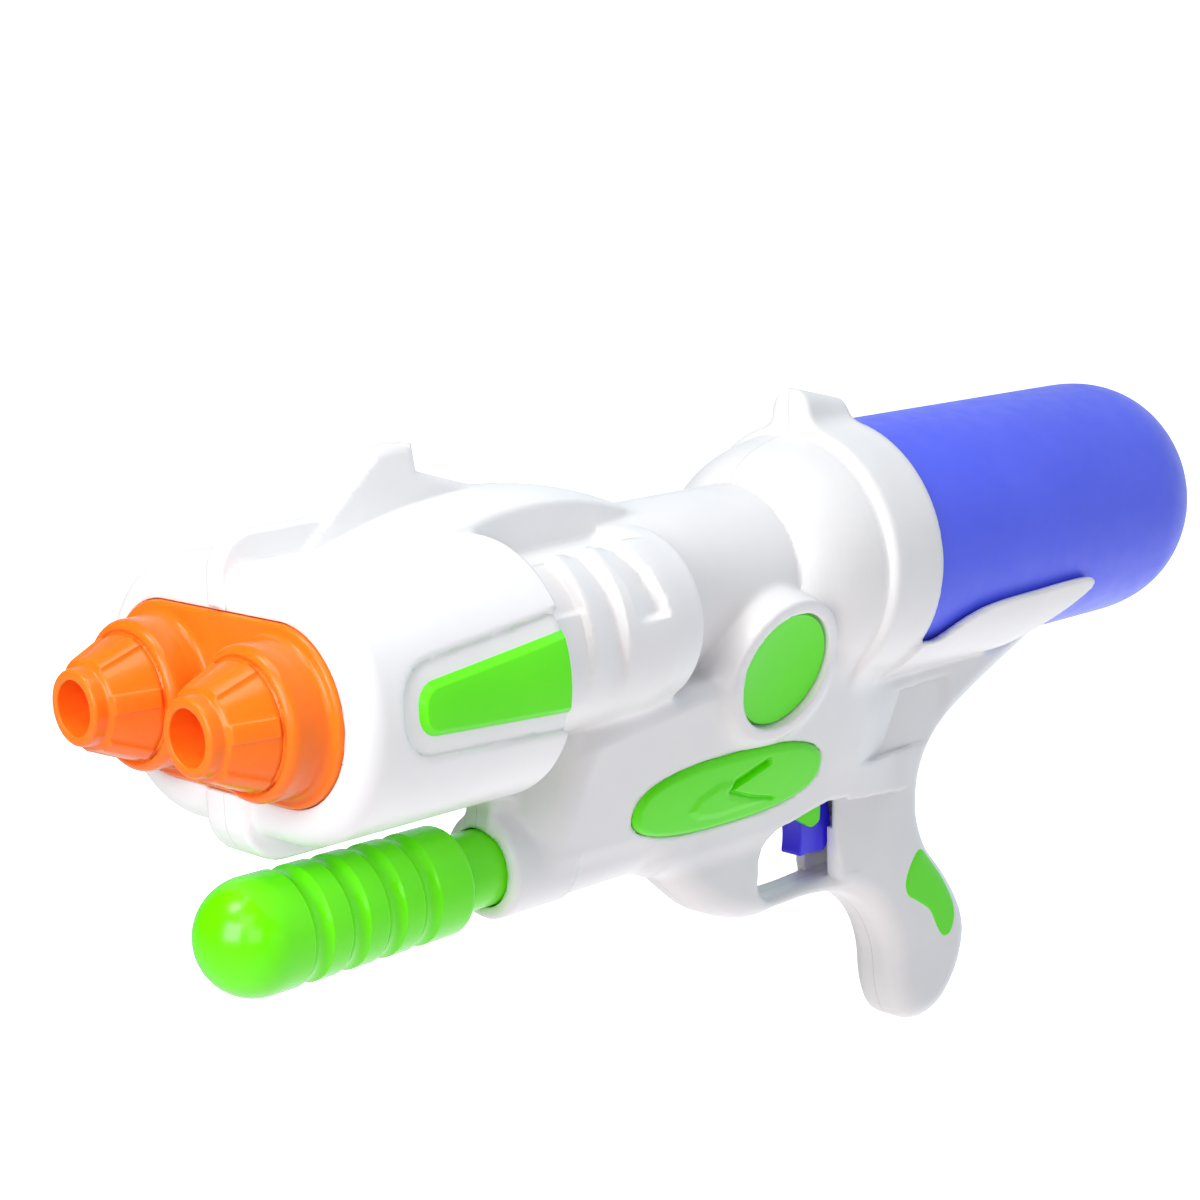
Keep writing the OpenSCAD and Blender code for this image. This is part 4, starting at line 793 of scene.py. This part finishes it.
ARROW = (2.0, 0.2)  # point of the arrow from the oval's middle
LEAF = [ARROW, (0, 4.5), (8.4, 5.5), (18, 1.7), (22, -4), (16, -8), (5, -9.4), (-10, -8.4), (-21.9, -7.3),
        (-10.4, -4.4)]
LOW_CUT = [ARROW, (-10.4, -4.3), (-21.9, -7.3), (-10.4, -4.5)]


def oval_grid():
    """Oval insert: rings of its outline drawn in to the middle, crowned, with a rounded rim. On its face a leaf swells
    up to an arrow of two cuts: a wide sloping facet above and a narrow groove below."""
    rim = np.radians(np.linspace(0, 90, 8))
    rows = [(0, 0, 33.1), (0, 1, 33.1), (0, 1, 33.9)]
    rows += [(2.6 - 2.6 * np.cos(b), 1, 33.9 + 2.3 * np.sin(b)) for b in rim[1:]]
    rows += [(2.6, s, 36.2) for s in np.linspace(1, 0, 71)[1:]]

    def carve(u, v, h):
        du, dv = u - OVAL[0], v - OVAL[1]
        a, b = du * np.cos(TILT) + dv * np.sin(TILT), dv * np.cos(TILT) - du * np.sin(TILT)
        top = h > 36.1
        crown = 0.5 * np.clip(1 - (a / 44) ** 2 - (b / 12) ** 2, 0, 1) + 0.6 * step(-flat(a, b, LEAF), -0.2, 3.2)
        fa, fb = a - ARROW[0], b - ARROW[1]
        along, over = -0.939 * fa + 0.343 * fb, 0.343 * fa + 0.939 * fb  # along the upper cut and across it
        cut = 2.3 * np.clip(1 - over / (4.4 - 0.05 * along), 0, 1) * step(over, -0.35, 0.05)
        cut = cut * step(along - 0.78 * over, -0.5, 0.3) * step(19.8 - along, 0, 0.5)
        low = 1.1 * np.exp(-(flat(a, b, LOW_CUT) / 0.6) ** 2)
        return flank(u, v, h + top * (crown - np.maximum(cut, low)))

    return plate_grid(oval(0.0, 320), rows, carve)


def shroud_side(u, v, h):
    """Point of the shroud's round side: u along the barrel, v its height and h its distance from the pill's axis."""
    return np.stack([u, SHROUD_Y + np.sqrt(np.maximum(h**2 - (v - NOSE_Z) ** 2, 1)), v], -1)


def wedge_grid():
    """Wedge: its outline with an upright rim and a broad chamfer, each row a smaller wedge, and a top that is drawn in
    to the middle line and follows the shroud."""
    rim = [(0, 0, 37.2), (0, 1, 37.2), (0, 1, 37.8), (0.15, 1, 38.0), (1.6, 1, 39.55), (1.85, 1, 39.7), (2.2, 1, 39.75)]
    sixths = np.linspace(0, 1, 6, endpoint=False)[None, :, None]
    rows = []
    for inset, shrink, height in rim + [(2.2, k, 39.75) for k in np.linspace(1, 0, 13)[1:]]:
        line = wedge(-inset)
        line[0, 0] = line[-1, 0] = 190.4 + 0.6 * inset
        line = (line[:, None] + (np.roll(line, -1, 0) - line)[:, None] * sixths).reshape(-1, 2)
        spine = np.c_[np.clip(line[:, 0], 203, 243), np.full(len(line), -3.0)]
        uv = spine + shrink * (line - spine)
        rows.append(shroud_side(uv[:, 0], uv[:, 1], height))
    return np.array(rows)


PATCH = smooth([(-31, -115), (-39, -122), (-47, -133), (-51, -143), (-49, -151), (-44, -152), (-40, -147), (-36, -140),
                (-29, -135), (-23, -131), (-22, -125), (-26, -118)], 4)


def grip_side(u, v, h):
    """Point of the hand grip's rounded side, h out of its skin."""
    d = flat(u, v, HANDLE)
    fall = np.clip(d + GRIP_ROUND, 0, GRIP_ROUND - 0.1)  # depth into the rounded edge
    side = GRIP_HALF - GRIP_ROUND + np.sqrt(np.maximum(GRIP_ROUND**2 - fall**2, 1))
    return np.stack([u, side + h, v], -1)


def patch_grid():
    """Soft patch: rings of its outline with a small round rim, following the hand grip."""
    rows = [(0, 0, -3.0), (0, 1, -3.0), (0, 1, -0.3), (0.12, 1, 0.0), (0.4, 1, 0.15), (0.8, 1, 0.22)]
    rows += [(0.8, s, 0.25) for s in np.linspace(1, 0, 13)[1:]]
    return plate_grid(PATCH, rows, grip_side)


for name, grid, node in (("boss_disc", disc_grid(), "side_disc"), ("flank_oval", oval_grid(), "oval_insert"),
                         ("shroud_wedge", wedge_grid(), "shroud_insert"), ("grip_patch", patch_grid(), "grip_insert")):
    for side, way in (("left", 1), ("right", -1)):
        insert = mesh(name + "_" + side, *sheath(grid * (1, way, 1)))
        insert.data.materials.append(green)
        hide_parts(node + "_" + side)
        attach(insert, "body")

# Floor, light and camera
# A white sweep under soft studio light, seen from the photograph's place. The squirter is held in the hand, so it
# stands just clear of the floor.
FLOOR_Z = -0.0435
bpy.ops.mesh.primitive_plane_add(size=12, location=(0, 0, FLOOR_Z))
floor = bpy.context.object
floor.name = "floor"
paper = plastic("white_paper", (0.93, 0.93, 0.93), (0.92, 0.92, 0.92), (0.7, 0.8), Emission_Color=(1, 1, 1, 1),
                Emission_Strength=0.985)
floor.data.materials.append(paper)
floor.visible_diffuse = floor.visible_glossy = False

# the camera's right, down and forward, and its place in the barrel frame
turn = np.array([[-0.70938182, 0.70431677, -0.0267454], [0.15429441, 0.11815445, -0.98093464],
                 [-0.68772863, -0.69998386, -0.19248876]])
eye = (np.array([688.836, 580.135, 159.771]) + GRIP) / 1000
PICTURE, FOCUS, FILM = 1200, 2568.75, 36  # width and focal length in pixels, and the film's width in mm
lens = bpy.data.cameras.new("camera")
lens.sensor_width, lens.lens = FILM, FOCUS / PICTURE * FILM
lens.clip_start, lens.clip_end = 0.05, 20
camera = bpy.data.objects.new("camera", lens)
m = np.eye(4)
m[:3, 0], m[:3, 1], m[:3, 2], m[:3, 3] = turn[0], -turn[1], -turn[2], eye
camera.matrix_world = Matrix(m.tolist())
bpy.context.collection.objects.link(camera)
bpy.context.scene.camera = camera

# The backdrop is white to the camera; what lights the squirter is cool light from behind and the warm bounce of the
# table, each a lobe of the sky about one direction.
world = bpy.data.worlds.new("world")
bpy.context.scene.world = world
world.use_nodes = True
tree = world.node_tree
tree.nodes.remove(tree.nodes["Background"])
toward = tree.nodes.new("ShaderNodeTexCoord").outputs["Generated"]
lobes = []
for lobe, tint in (((-1.35, 0, 0), (0.82, 0.93, 1.0, 1)), ((0.22, 0, -1.45), (1.0, 0.93, 0.92, 1))):
    share = wire(tree, "ShaderNodeVectorMath", {"operation": "DOT_PRODUCT", 1: lobe}, {0: toward})
    glow = wire(tree, "ShaderNodeMath", {"operation": "MAXIMUM", 1: 0.0}, {0: share.outputs["Value"]})
    lobes.append(wire(tree, "ShaderNodeBackground", {"Color": tint}, {"Strength": glow.outputs[0]}))
room = wire(tree, "ShaderNodeAddShader", (), {0: lobes[0].outputs[0], 1: lobes[1].outputs[0]})
paper_white = wire(tree, "ShaderNodeBackground", {"Color": (1, 1, 1, 1), "Strength": 1.05})
seen = tree.nodes.new("ShaderNodeLightPath").outputs["Is Camera Ray"]
sky = wire(tree, "ShaderNodeMixShader", (), {0: seen, 1: room.outputs[0], 2: paper_white.outputs[0]})
tree.links.new(sky.outputs[0], tree.nodes["World Output"].inputs["Surface"])
bpy.context.scene.view_settings.view_transform = "Standard"


def softbox(name, at, aim, size, watts, tint=(1, 1, 1)):
    """Square area light at one point, turned to another."""
    light = bpy.data.lights.new(name, "AREA")
    light.energy, light.size, light.color = watts, size, tint
    lamp = bpy.data.objects.new(name, light)
    lamp.location = at
    lamp.rotation_euler = (Vector(aim) - Vector(at)).to_track_quat("-Z", "Y").to_euler()
    bpy.context.collection.objects.link(lamp)


softbox("front", (1.1, 0.15, 0.42), (0.3, 0, 0.13), 0.5, 6.4, (0.87, 0.96, 1))
softbox("glint", (0.84, -0.2, 1.12), (0.31, 0, 0.07), 0.34, 4.4, (1, 0.97, 0.94))
softbox("key", (0.72, 0.30, 0.62), (0.28, 0, 0.14), 0.36, 1.2, (1, 0.84, 0.74))
softbox("side", (0.2, 0.9, 0.12), (0.15, 0, 0.1), 0.5, 0.35, (1, 0.94, 0.96))
softbox("fill", (0.78, 0.66, 0.36), (0.2, 0, 0.12), 0.4, 1.4, (1, 0.94, 0.94))
softbox("top", (0.35, 0.1, 1.0), (0.25, 0, 0.1), 0.5, 3.4)
